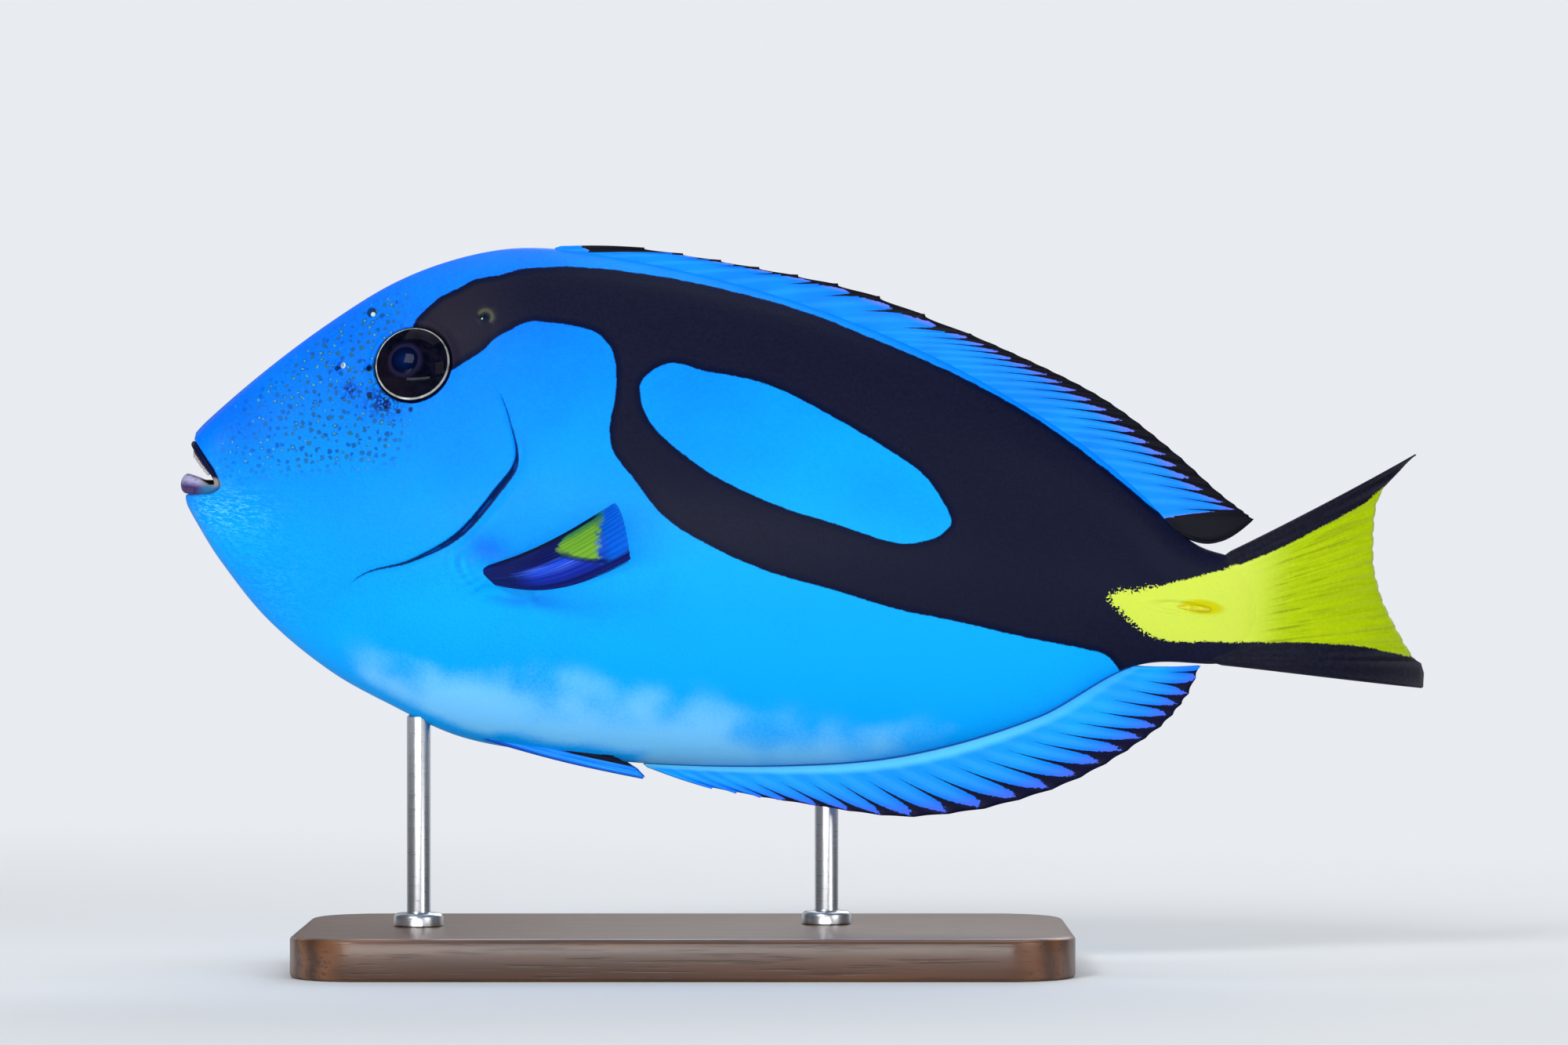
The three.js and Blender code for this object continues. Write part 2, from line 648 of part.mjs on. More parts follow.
// The head's openings: eye sockets with rims, nostrils, mouth and the seats of the gill covers
const mouthCut = prism([
  [upperLip.front[0] - 2, upperLip.front[1] + 2], upperLip.corner, [7, -1.7], lowerLip.corner,
  lowerLip.front, [-1, lowerLip.front[1]],
]);
head = head.subtract(mouthCut);
head = head.subtract(lip(upperLip, gap)).subtract(lip(lowerLip, gap));
const coverOutline = [...coverFront, [29, -17], [62, -17], [62, 23]];
const sides = { left: -1, right: 1 };
for (const [name, side] of Object.entries(sides)) {
  const between = (inner) => [inner, bodyWidth].map((y) => side * y).sort((a, b) => a - b);
  const cover = head.intersect(prism(coverOutline, ...between(coverInner)));
  fish.add(mesh("gill_cover_" + name, cover, colours.blue));
  const seat = prism(coverOutline, ...between(coverInner - gap));
  const seatEdge = prism(strip(coverFront, 2 * gap), ...between(coverInner - gap));
  head = largest(head.subtract(seat).subtract(seatEdge));

  const eyeBall = (grown) =>
    flankBall(eyeAt.x, eyeAt.z, side, eyeRadius + grown, eyeDepth + grown, eyeBulge - eyeDepth, 20);
  head = head.add(flankRing(eyeAt.x, eyeAt.z, orbitRim.radius, orbitRim.tube, side, 22));
  for (const n of nostrils) head = head.add(flankRing(n.x, n.z, n.radius, n.rim, side, 9));
  head = head.subtract(eyeBall(gap));
  for (const n of nostrils) {
    head = head.subtract(flankBall(n.x, n.z, side, n.radius * 0.75, nostrilDepth, 0, 8));
  }
  fish.add(mesh("eye_" + name, eyeBall(0), colours.eye));

  const pectoralSolid = pectoral(pectoralFin, side).subtract(clearBody);
  fish.add(mesh("pectoral_fin_" + name, pectoralSolid, colours.navy));
  const pelvicSolid = pelvic(pelvicFin, side).subtract(clearBody);
  fish.add(mesh("pelvic_fin_" + name, pelvicSolid, colours.blue));

  peduncle = peduncle.subtract(scalpelSolid(side, gap));
  fish.add(mesh("tail_spine_" + name, scalpelSolid(side), colours.yellow));
}
fish.add(mesh("head", head, colours.blue));
fish.add(mesh("trunk", trunk, colours.blue));
fish.add(mesh("tail_peduncle", peduncle, colours.navy));

// The mouth's pieces
fish.add(mesh("upper_lip", toothedLip(upperLip, upperTeeth), colours.lip));
const lowerLipSolid = toothedLip(lowerLip, lowerTeeth).subtract(lip(upperLip, gap));
fish.add(mesh("lower_lip", lowerLipSolid, colours.lip));

// The fins in the middle plane
fish.add(mesh("dorsal_fin", midPlaneFin(dorsalFin).subtract(clearBody), colours.blue));
fish.add(mesh("anal_fin", midPlaneFin(analFin).subtract(clearBody), colours.blue));
fish.add(mesh("caudal_fin", tailFin(caudalFin).subtract(clearBody), colours.yellow));

// The stand: a flat plate, and rods with a collar at the foot that end at the skin
function standRod(place) {
  const foot = base.thickness + gap;
  const profile = [
    [0, foot], [rod.collarRadius, foot], [rod.collarRadius, foot + rod.collarHeight - 0.6],
    [rod.collarRadius - 0.6, foot + rod.collarHeight], [rod.radius, foot + rod.collarHeight],
    [rod.radius, snoutPlace.z - 25], [0, snoutPlace.z - 25],
  ];
  const geometry = new THREE.LatheGeometry(
    profile.map(([r, h]) => new THREE.Vector2(r, h)), rod.sides,
  );
  geometry.rotateX(Math.PI / 2);
  geometry.translate(place.x, place.y, 0);
  geometry.applyMatrix4(fish.matrixWorld.clone().invert());
  return solidOf(geometry).subtract(clearBody);
}

function standBase() {
  const { length, width, corner, bevel, thickness } = base;
  const half = { x: length / 2 - bevel, y: width / 2 - bevel };
  const shape = new THREE.Shape();
  for (const [x, y, turn] of [[1, -1, -0.5], [1, 1, 0], [-1, 1, 0.5], [-1, -1, 1]]) {
    const start = turn * Math.PI;
    const centre = [x * (half.x - corner), y * (half.y - corner)];
    shape.absarc(...centre, corner, start, start + Math.PI / 2, false);
  }
  const geometry = new THREE.ExtrudeGeometry(shape, {
    depth: thickness - 2 * bevel,
    bevelSize: bevel,
    bevelThickness: bevel,
    bevelSegments: 1,
    curveSegments: 6,
  });
  geometry.translate(0, 0, bevel);
  return solidOf(geometry);
}

for (const [name, place] of Object.entries(rods)) {
  fish.add(mesh("stand_rod_" + name, standRod(place), colours.steel));
}

const tang = new THREE.Group();
tang.add(fish, mesh("stand_base", standBase(), colours.wood));

export default tang;
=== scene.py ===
import math
import bmesh
import bpy
import numpy as np
from mathutils import Matrix, Vector


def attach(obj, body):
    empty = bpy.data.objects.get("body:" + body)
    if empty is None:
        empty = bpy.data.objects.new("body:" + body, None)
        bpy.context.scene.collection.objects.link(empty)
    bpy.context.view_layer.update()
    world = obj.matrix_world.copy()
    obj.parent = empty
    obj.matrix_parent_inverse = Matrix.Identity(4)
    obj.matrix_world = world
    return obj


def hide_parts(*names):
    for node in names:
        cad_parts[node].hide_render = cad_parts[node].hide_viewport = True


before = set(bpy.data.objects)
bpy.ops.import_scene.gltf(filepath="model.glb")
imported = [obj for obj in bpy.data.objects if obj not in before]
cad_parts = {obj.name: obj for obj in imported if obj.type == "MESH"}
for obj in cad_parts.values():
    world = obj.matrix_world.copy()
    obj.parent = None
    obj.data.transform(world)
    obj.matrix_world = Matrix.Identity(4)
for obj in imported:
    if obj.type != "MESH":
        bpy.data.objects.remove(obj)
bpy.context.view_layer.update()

# A regal blue tang on a display stand. The fish is laid out in its own frame, in millimetres: the
# snout at x = 0, the tail at +x, its left side at -y. toRow then tips it head up over the stand.


def through(points):  # a smooth curve through [x, y] points, as a function of x
    xs, ys = np.array(points, float).T
    slopes = np.zeros(len(xs))
    slopes[1:-1] = (ys[2:] - ys[:-2]) / (xs[2:] - xs[:-2])
    slopes[0] = (ys[1] - ys[0]) / (xs[1] - xs[0])
    slopes[-1] = (ys[-1] - ys[-2]) / (xs[-1] - xs[-2])

    def at(x):
        x = np.asarray(x, float)
        i = np.clip(np.searchsorted(xs, x, side="right") - 1, 0, len(xs) - 2)
        span = xs[i + 1] - xs[i]
        t = np.clip((x - xs[i]) / span, 0, 1)
        rise = ys[i + 1] - ys[i]
        bend = (slopes[i] * span - rise) * (1 - t) + (rise - slopes[i + 1] * span) * t
        return ys[i] + rise * t + t * (1 - t) * bend

    return at


def smoothLine(points, steps, closed=False):  # a smooth line through points of any dimension
    points = np.array(points, float)
    count = len(points)
    at = (lambda i: points[i % count]) if closed else (lambda i: points[np.clip(i, 0, count - 1)])
    share = np.linspace(0, count if closed else count - 1, steps, endpoint=not closed)
    i = np.minimum(share.astype(int), count - 1 if closed else count - 2)
    t = (share - i)[:, None]
    a, b, c, d = at(i - 1), at(i), at(i + 1), at(i + 2)
    return 0.5 * (2 * b + (c - a) * t + (2 * a - 5 * b + 4 * c - d) * t**2
                  + (3 * b - a - 3 * c + d) * t**3)


def mix(a, b, t):
    return a + (b - a) * t


def step(x, low, high):  # 0 below low, 1 above high, smooth between
    t = np.clip((x - low) / (high - low), 0, 1)
    return t * t * (3 - 2 * t)


def bump(distance, reach):
    return np.exp(-((distance / reach) ** 2))


def unit(v):
    return v / np.maximum(np.linalg.norm(v, axis=-1, keepdims=True), 1e-9)


fish = {
    "length": 187,  # snout to the end of the tail's flesh
    "depth": 85,
    "width": 29,
    "headUp": math.radians(7),
    "snout": (-85, 0, 84),  # over the stand's centre
    "back": [
        (0, 0.052), (0.017, 0.104), (0.065, 0.22), (0.116, 0.327), (0.168, 0.419), (0.221, 0.482),
        (0.276, 0.52), (0.334, 0.528), (0.449, 0.511), (0.565, 0.467), (0.684, 0.391),
        (0.802, 0.275), (0.866, 0.184), (0.898, 0.125), (0.93, 0.092), (1, 0.08),
    ],
    "belly": [
        (0, -0.04), (0.017, -0.094), (0.044, -0.168), (0.092, -0.271), (0.155, -0.36),
        (0.214, -0.413), (0.274, -0.456), (0.333, -0.468), (0.446, -0.466), (0.583, -0.433),
        (0.684, -0.384), (0.794, -0.28), (0.86, -0.174), (0.893, -0.144), (0.941, -0.134),
        (1, -0.125),
    ],
    "flank": [
        (0, 0.18), (0.034, 0.19), (0.064, 0.24), (0.134, 0.359), (0.203, 0.438), (0.278, 0.49),
        (0.342, 0.5), (0.455, 0.476), (0.578, 0.41), (0.695, 0.317), (0.802, 0.217),
        (0.882, 0.152), (0.941, 0.096), (1, 0.044),
    ],
    "snoutStart": 0.5,
    "snoutTall": 1.2,
    "snoutWide": 5.5,
    "tailRound": 11,
    "tailEdgeRound": 15,
    "backSharpness": 1.22,
    "bellySharpness": 1.08,
    "swellings": [(37, 22.5, 9, 0.9), (23, 8, 9, -0.7), (46, 1, 12, 0.5), (62, -8, 12, -0.4)],
    "swingStart": 140,
    "swingSlope": 0.325,
    "swingPower": 3.66,
    "tailTwist": 0.004,
}
backLine, bellyLine, flankLine = (through(fish[k]) for k in ("back", "belly", "flank"))


def backHeight(x):
    return backLine(np.asarray(x) / fish["length"]) * fish["depth"]


def bellyHeight(x):
    return bellyLine(np.asarray(x) / fish["length"]) * fish["depth"]


# A point of the straight body. turn is 0 on the back and half a circle on the belly, and it is
# negative on the left side.
def bodyPoint(x, turn):
    x, turn = np.broadcast_arrays(np.asarray(x, float), np.asarray(turn, float))
    angle = np.pi / 2 - np.abs(turn)
    ahead = x - fish["snoutStart"]
    tall, wide = (np.sqrt(1 - (1 - np.clip(ahead / fish[k], 0, 1)) ** 2)
                  for k in ("snoutTall", "snoutWide"))
    hind, edge = (np.clip((x - fish["length"] + fish[k]) / fish[k], 0, 1)
                  for k in ("tailRound", "tailEdgeRound"))
    back, belly = backHeight(x), bellyHeight(x)
    halfHeight = (back - belly) / 2 * tall * np.sqrt(1 - hind**2)
    halfWidth = flankLine(x / fish["length"]) * fish["width"] * wide * (1 - edge**2)
    z = (back + belly) / 2 + halfHeight * np.sin(angle)
    sharpness = np.where(angle > 0, fish["backSharpness"], fish["bellySharpness"])
    spread = np.maximum(np.cos(angle), 0) ** sharpness
    y = halfWidth * spread
    for sx, sz, reach, height in fish["swellings"]:
        y = y + height * spread * bump(np.hypot(x - sx, z - sz), reach)
    return np.stack([x, np.where(turn < 0, -y, y), z], -1)


def bodyNormal(x, turn):
    alongX = bodyPoint(x + 0.05, turn) - bodyPoint(x - 0.05, turn)
    around = bodyPoint(x, turn + 0.01) - bodyPoint(x, turn - 0.01)
    return unit(np.cross(alongX, around))


def turnAt(x, z, side=-1):  # where on the ring at x the flank has this height
    back, belly = backHeight(x), bellyHeight(x)
    ahead = np.clip((x - fish["snoutStart"]) / fish["snoutTall"], 0, 1)
    halfHeight = (back - belly) / 2 * np.sqrt(1 - (1 - ahead) ** 2)
    share = np.clip((z - (back + belly) / 2) / halfHeight, -1, 1)
    return side * (np.pi / 2 - np.arcsin(share))


def swing(p):  # moves points of the straight fish to where the swung tail has them
    x, y, z = np.moveaxis(np.asarray(p, float), -1, 0)
    run = fish["length"] - fish["swingStart"]
    past = np.maximum(x - fish["swingStart"], 0) / run
    slope = fish["swingSlope"] * past ** fish["swingPower"]
    twist = fish["tailTwist"] * (z + 2) * np.maximum(x - 178, 0)
    side = slope * past * run / (fish["swingPower"] + 1) + twist
    turned = np.arctan(slope)
    return np.stack([x - y * np.sin(turned), side + y * np.cos(turned), z], -1)


def toRow(p):  # fish frame in millimetres to the model's frame in metres
    x, y, z = np.moveaxis(swing(p), -1, 0)
    c, s = math.cos(fish["headUp"]), math.sin(fish["headUp"])
    ox, oy, oz = fish["snout"]
    return np.stack([ox + x * c + z * s, oy + y, oz - x * s + z * c], -1) / 1000


sides = {"left": -1, "right": 1}  # the sign of y on each side of the fish


def newObject(name, mesh, material=None):
    obj = bpy.data.objects.new(name, mesh)
    bpy.context.scene.collection.objects.link(obj)
    if material:
        mesh.materials.append(material)
    return obj


def meshFrom(name, points, faces, attributes=None, edges=()):
    mesh = bpy.data.meshes.new(name)
    mesh.from_pydata(*([tuple(item) for item in items] for items in (points, edges, faces)))
    for key, values in (attributes or {}).items():
        addAttribute(mesh, key, values)
    mesh.shade_smooth()
    return mesh


def ringFaces(rings, around):  # quads between rings of points that follow one another
    faces = []
    for a in range(0, (rings - 1) * around, around):
        for k in range(around):
            following = (k + 1) % around
            faces.append((a + k, a + following, a + around + following, a + around + k))
    return faces


def cappedRings(rings, around):  # the same with a flat cap at either end
    last = (rings - 1) * around
    return ringFaces(rings, around) + [tuple(range(around - 1, -1, -1)), tuple(range(last, last + around))]


def fan(tip, ring):  # triangles between one point and a closed ring of them
    return [(tip, ring[k], ring[(k + 1) % len(ring)]) for k in range(len(ring))]


def ringAngles(count):
    return [2 * math.pi * k / count for k in range(count)]


def addAttribute(mesh, name, values):
    values = np.asarray(values, np.float32)
    kind = "FLOAT_VECTOR" if values.ndim == 2 else "FLOAT"
    layer = mesh.attributes.new(name, kind, "POINT")
    layer.data.foreach_set("vector" if values.ndim == 2 else "value", values.ravel())


def finished(obj, slot, *nodes):
    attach(obj, "root")
    if nodes:
        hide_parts(*nodes)
    return obj


# Colours as they look, 0 to 255 a channel
def paint(red, green, blue):
    linear = [c / 12.92 if c < 0.04045 else ((c + 0.055) / 1.055) ** 2.4
              for c in (red / 255, green / 255, blue / 255)]
    return (*linear, 1)


# Shader building blocks. A socket knows the tree that it is in, so new nodes join that tree
def plug(socket, value):
    if isinstance(value, bpy.types.NodeSocket):
        socket.id_data.links.new(value, socket)
    else:
        socket.default_value = value


def newMaterial(name, **sockets):
    material = bpy.data.materials.new(name)
    material.use_nodes = True
    shader = material.node_tree.nodes["Principled BSDF"]
    for key, value in sockets.items():
        shader.inputs[key.replace("_", " ")].default_value = value
    return material, material.node_tree, shader


def calc(operation, *values):
    sockets = [value for value in values if isinstance(value, bpy.types.NodeSocket)]
    made = sockets[0].id_data.nodes.new("ShaderNodeMath")
    made.operation = operation
    for i, value in enumerate(values):
        plug(made.inputs[i], value)
    return made.outputs[0]


def times(a, b):
    return calc("MULTIPLY", a, b)


def plus(a, b):
    return calc("ADD", a, b)


def minus(a, b):
    return calc("SUBTRACT", a, b)


def apart(a, b):  # how far a and b are from each other
    return calc("ABSOLUTE", minus(a, b))


def fade(value, low, high, start=0.0, end=1.0):  # a smooth ramp from start at low to end at high
    made = value.id_data.nodes.new("ShaderNodeMapRange")
    made.interpolation_type = "SMOOTHSTEP"
    for i, given in enumerate((value, low, high, start, end)):
        plug(made.inputs[i], given)
    return made.outputs[0]


def tint(share, a, b):  # colour a, and colour b where share is 1
    made = share.id_data.nodes.new("ShaderNodeMix")
    made.data_type = "RGBA"
    for i, given in ((0, share), (6, a), (7, b)):
        plug(made.inputs[i], given)
    return made.outputs[2]


def vectorMath(operation, *values):
    made = values[0].id_data.nodes.new("ShaderNodeVectorMath")
    made.operation = operation
    for i, value in enumerate(values):
        plug(made.inputs[i], value)
    return made.outputs["Value" if operation == "LENGTH" else "Vector"]


def separate(vector):
    made = vector.id_data.nodes.new("ShaderNodeSeparateXYZ")
    plug(made.inputs[0], vector)
    return made.outputs


def channels(colour):
    made = colour.id_data.nodes.new("ShaderNodeSeparateColor")
    plug(made.inputs[0], colour)
    return made.outputs


def objectPlace(tree, scale=None):  # Object coordinates, stretched by scale
    place = tree.nodes.new("ShaderNodeTexCoord").outputs["Object"]
    if scale is None:
        return place
    made = tree.nodes.new("ShaderNodeMapping")
    made.inputs["Scale"].default_value = scale
    plug(made.inputs["Vector"], place)
    return made.outputs[0]


def reading(tree, name, output="Fac"):
    made = tree.nodes.new("ShaderNodeAttribute")
    made.attribute_name = name
    return made.outputs[output]


def noise(place, scale, detail=2.0, roughness=0.5, output="Fac"):
    made = place.id_data.nodes.new("ShaderNodeTexNoise")
    plug(made.inputs["Vector"], place)
    plug(made.inputs["Scale"], scale)
    made.inputs["Detail"].default_value = detail
    made.inputs["Roughness"].default_value = roughness
    return made.outputs[output]


def cells(place, scale, flat=False, randomness=1.0):
    made = place.id_data.nodes.new("ShaderNodeTexVoronoi")
    made.voronoi_dimensions = "2D" if flat else "3D"
    made.inputs["Randomness"].default_value = randomness
    plug(made.inputs["Vector"], place)
    plug(made.inputs["Scale"], scale)
    return made.outputs["Distance"], made.outputs["Color"]


def relief(shader, height, distance):  # distance in metres for a height of 1
    made = shader.id_data.nodes.new("ShaderNodeBump")
    made.inputs["Strength"].default_value = 1
    made.inputs["Distance"].default_value = distance
    plug(made.inputs["Height"], height)
    plug(shader.inputs["Normal"], made.outputs[0])


def newGroup(name, inputs, outputs):
    tree = bpy.data.node_groups.new(name, "ShaderNodeTree")
    for key, kind in inputs:
        tree.interface.new_socket(key, in_out="INPUT", socket_type="NodeSocket" + kind)
    for key, kind in outputs:
        tree.interface.new_socket(key, in_out="OUTPUT", socket_type="NodeSocket" + kind)
    return tree, tree.nodes.new("NodeGroupInput").outputs, tree.nodes.new("NodeGroupOutput").inputs


def useGroup(group, **values):
    sockets = [value for value in values.values() if isinstance(value, bpy.types.NodeSocket)]
    made = sockets[0].id_data.nodes.new("ShaderNodeGroup")
    made.node_tree = group
    for key, value in values.items():
        plug(made.inputs[key], value)
    return made.outputs


# Tiny scales: a raised middle to each cell, and a tone that changes from scale to scale
def makeScaleGroup():
    tree, given, out = newGroup("tinyScales", [("Place", "Vector"), ("Size", "Float")],
                                [("Height", "Float"), ("Tone", "Float")])
    middle, shade = cells(given["Place"], calc("DIVIDE", 1.0, given["Size"]))
    plug(out["Height"], fade(middle, 0.75, 0.1))
    plug(out["Tone"], channels(shade)[0])
    return tree


# The edge between two colours of skin, grainy as its pigment cells are: 1 where the distance to
# the edge is positive
def makeEdgeGroup():
    tree, given, out = newGroup(
        "grainyEdge",
        [("Distance", "Float"), ("Place", "Vector"), ("Wander", "Float"), ("Grain", "Float"),
         ("Softness", "Float")],
        [("Mask", "Float")])
    wide = minus(noise(given["Place"], 0.55, 2), 0.5)
    fine = minus(noise(given["Place"], 2.6, 1), 0.5)
    moved = calc("MULTIPLY_ADD", wide, given["Wander"], given["Distance"])
    moved = calc("MULTIPLY_ADD", fine, given["Grain"], moved)
    plug(out["Mask"], fade(moved, times(given["Softness"], -1.0), given["Softness"]))
    return tree


# Fine streaks that run out along a fin's rays
def makeStreakGroup():
    tree, given, out = newGroup("rayStreaks",
                                [("Ray", "Float"), ("Along", "Float"), ("Fineness", "Float")],
                                [("Streak", "Float"), ("Height", "Float")])
    place = tree.nodes.new("ShaderNodeCombineXYZ")
    plug(place.inputs[0], times(given["Ray"], given["Fineness"]))
    plug(place.inputs[1], times(given["Along"], 2.0))
    found = noise(place.outputs[0], 1.0, 2, 0.6)
    plug(out["Streak"], fade(found, 0.46, 0.7))
    plug(out["Height"], found)
    return tree


scaleGroup = makeScaleGroup()
edgeGroup = makeEdgeGroup()
streakGroup = makeStreakGroup()


def edgeMask(distance, place, wander=0.4, grain=0.16, softness=0.14):
    return useGroup(edgeGroup, Distance=distance, Place=place, Wander=wander, Grain=grain,
                    Softness=softness)["Mask"]


def rayStreaks(number, along, fineness):
    return useGroup(streakGroup, Ray=number, Along=along, Fineness=fineness)


# The markings as outlines on the flank, [x, z]
markings = {
    "band": [
        (36.3, 28.2), (36.6, 29.8), (38.2, 32.1), (40.2, 34.3), (42.8, 36), (45.8, 38), (49.7, 39.2),
        (53.2, 40.6), (60, 41.9), (68, 42.4), (78.6, 42.2), (89.5, 41.2), (100.3, 39.6),
        (111.4, 36.8), (122.4, 33.7), (133.5, 30), (144.8, 25), (156.3, 18.4), (165.2, 13), (172, 13),
        (190, 20), (240, 60),
        (240, -60), (176, -34), (164, -18), (159.4, -12.4), (154.6, -11.3), (143.9, -10.5), (133, -9.3),
        (122.2, -8.4), (111.3, -6.5), (100.4, -4.8), (89.4, -1.4), (82.2, 2.1), (76.2, 8),
        (72.6, 11.6), (71.3, 15.6), (71.5, 22.1), (70.4, 28), (67.6, 31.1), (63.9, 32), (59.1, 32.1),
        (55.6, 31.8), (52.3, 29.8), (50, 27.9), (48.6, 26), (46, 23.9), (43.7, 22), (40, 21), (36.8, 24),
    ],
    "oval": [
        (75.5, 22.6), (76.7, 25.7), (80.4, 27.9), (85.8, 27.2), (96.6, 26.2), (107.8, 22.3),
        (119.1, 17.3), (124.9, 13.9), (129.7, 7.9), (128.6, 5.1), (126.1, 3.6), (120.9, 2.6),
        (110, 4.6), (99, 6.8), (87.9, 10.8), (78.4, 17),
    ],
    "wedge": [
        (157.9, -1.7), (164.1, 0.1), (172.6, 3.3), (182.9, 7.8), (191.8, 13.3), (200.1, 18.9),
        (217, 31), (229, 10), (226, -6), (211.9, -6.1), (202.7, -5.3), (192.4, -5.8), (182.3, -6.9),
        (171.5, -8), (166.4, -7.9), (161.4, -5.4),
    ],
    "gill": [
        (22, -44), (26, -24), (32.4, -14.2), (41, -10.3), (48.5, -5), (54, 3), (56.6, 8.6),
        (54.4, 15.5), (51, 22.5), (50, 31), (49.5, 50),
    ],
}
outlines = {
    "band": smoothLine(markings["band"], 260, closed=True),
    "oval": smoothLine(markings["oval"], 120, closed=True),
    "wedge": smoothLine(markings["wedge"], 140, closed=True),
    "gill": smoothLine(markings["gill"], 90),
}


def lineDistance(line, x, z, closed):  # distance, share of the line's steps, and side
    best = np.full(x.shape, 1e9)
    share = np.zeros(x.shape)
    side = np.ones(x.shape)
    pairs = zip(line, np.roll(line, -1, 0)) if closed else zip(line[:-1], line[1:])
    for i, ((ax, az), (bx, bz)) in enumerate(pairs):
        dx, dz = bx - ax, bz - az
        t = np.clip(((x - ax) * dx + (z - az) * dz) / (dx * dx + dz * dz), 0, 1)
        distance = np.hypot(x - ax - t * dx, z - az - t * dz)
        nearer = distance < best
        best = np.where(nearer, distance, best)
        share = np.where(nearer, (i + t) / (len(line) - 1), share)
        side = np.where(nearer, np.sign((x - ax) * dz - (z - az) * dx), side)
    return best, share, side


def inside(line, x, z):
    crossed = np.zeros(x.shape, bool)
    for (ax, az), (bx, bz) in zip(line, np.roll(line, -1, 0)):
        if az == bz:
            continue
        between = (az > z) != (bz > z)
        crossed ^= between & (x < ax + (bx - ax) * (z - az) / (bz - az))
    return crossed


def markDistance(name, x, z):  # positive inside the marking
    distance = lineDistance(outlines[name], x, z, True)[0]
    return np.where(inside(outlines[name], x, z), distance, -distance)


# How far each point of the flank lies inside the black and the yellow
def flankMarks(x, z):
    black = np.minimum(markDistance("band", x, z), -markDistance("oval", x, z))
    return {"black": black, "yellow": markDistance("wedge", x, z)}


eye = {
    "at": (37.1, 22.5),
    "radius": 7.1,  # of the ball, which is flattened towards the head
    "depth": 4.6,
    "bulge": 2.2,  # how far it stands out of the flank
    "ring": 6.2,
    "ringWidth": 0.22,
    "pupil": 2.2,
    "pupilAt": (-0.85, -0.15),  # along the head and upwards from the eye's middle
    "brightAt": math.radians(40),  # the ring is brightest on the other side of this
    "rings": 34,
    "around": 72,
    "ball": (paint(3, 5, 16), paint(14, 15, 32)),
    "flecks": paint(30, 34, 30),
    "glow": paint(28, 18, 28),  # towards the bright side of the ring
    "halo": paint(38, 36, 70),
    # the pupil: dark blue, lighter in its middle, where a painted glint lies
    "lens": (paint(5, 22, 68), paint(1, 8, 36)),
    "gold": (paint(146, 150, 140), paint(226, 228, 222)),
    "rim": paint(3, 9, 30),
}


def eyeSeat(side):  # the middle of the eye's opening and the flank's normal there
    x, z = eye["at"]
    turn = turnAt(x, z, side)
    return bodyPoint(x, turn), bodyNormal(x, turn)


mouth = {
    "halfWidth": 5,
    "line": [  # middle line of both lips on the left, from the lower lip's front to the upper's
        (1.2, 0, -2.1), (1.9, 2.5, -2.17), (3.8, 4.33, -2.35), (5.5, 4.92, -2.5), (6.6, 5.05, -1.65),
        (5.55, 4.92, 0.3), (3.95, 4.33, 2.1), (2.2, 2.5, 3.98), (1.55, 0, 4.62),
    ],
    "tall": [(0, 1.7), (0.2, 1.5), (0.38, 0.7), (0.5, 0.42), (0.62, 0.45), (1, 0.6)],
    "deep": [(0, 1.15), (0.2, 1.05), (0.38, 0.75), (0.5, 0.45), (0.62, 0.45), (1, 0.55)],
    "lipLoops": 17,
    "lipFrom": 118,  # degrees round the lip, from the face over the front to the cavity
    "lipTo": -150,
    "cavityEnd": (9.5, 0, -0.6),
    "cavityLoops": 9,
    "faceEnd": 16,
    "faceLoops": 36,
}
skinGrid = {
    "around": 108,  # columns on each side
    "headStep": 0.45,
    "headEnd": 62,
    "trunkStep": 0.72,
    "tailLoops": 22,
}


# Columns at equal steps round each ring, as the turn of each
def evenTurns(x):
    fine = np.linspace(-np.pi, 0, 481)
    count = skinGrid["around"]
    rows = []
    for value in x:
        ring = bodyPoint(value, fine)
        ran = np.concatenate([[0], np.cumsum(np.linalg.norm(np.diff(ring, axis=0), axis=1))])
        left = np.interp(np.linspace(0, ran[-1], count + 1), ran, fine)
        rows.append(np.concatenate([left, -left[-2:0:-1]]))
    return np.array(rows)


def mirrored(left):  # columns 0 to around of the left side, and the right side's in return
    flip = left[..., -2:0:-1, :] * np.array([1, -1, 1])
    return np.concatenate([left, flip], axis=-2)


# Points on the middle line of the left side's lips at shares of its length, and the line's direction
def lipLine(share):
    line = smoothLine(np.array(mouth["line"]) * [1, -1, 1], 400)
    ran = np.concatenate([[0], np.cumsum(np.linalg.norm(np.diff(line, axis=0), axis=1))])
    at = lambda s: np.stack([np.interp(s * ran[-1], ran, line[:, k]) for k in range(3)], -1)
    ahead, behind = at(np.minimum(share + 0.015, 1)), at(np.maximum(share - 0.015, 0))
    straight = np.stack([np.zeros(share.shape), -np.cos(np.pi * share), np.zeros(share.shape)], -1)
    # so that the line crosses the fish's middle squarely
    atEnds = np.maximum(step(-share, -0.03, 0), step(share, 0.97, 1))[:, None]
    return at(share), unit(mix(unit(ahead - behind), straight, atEnds))


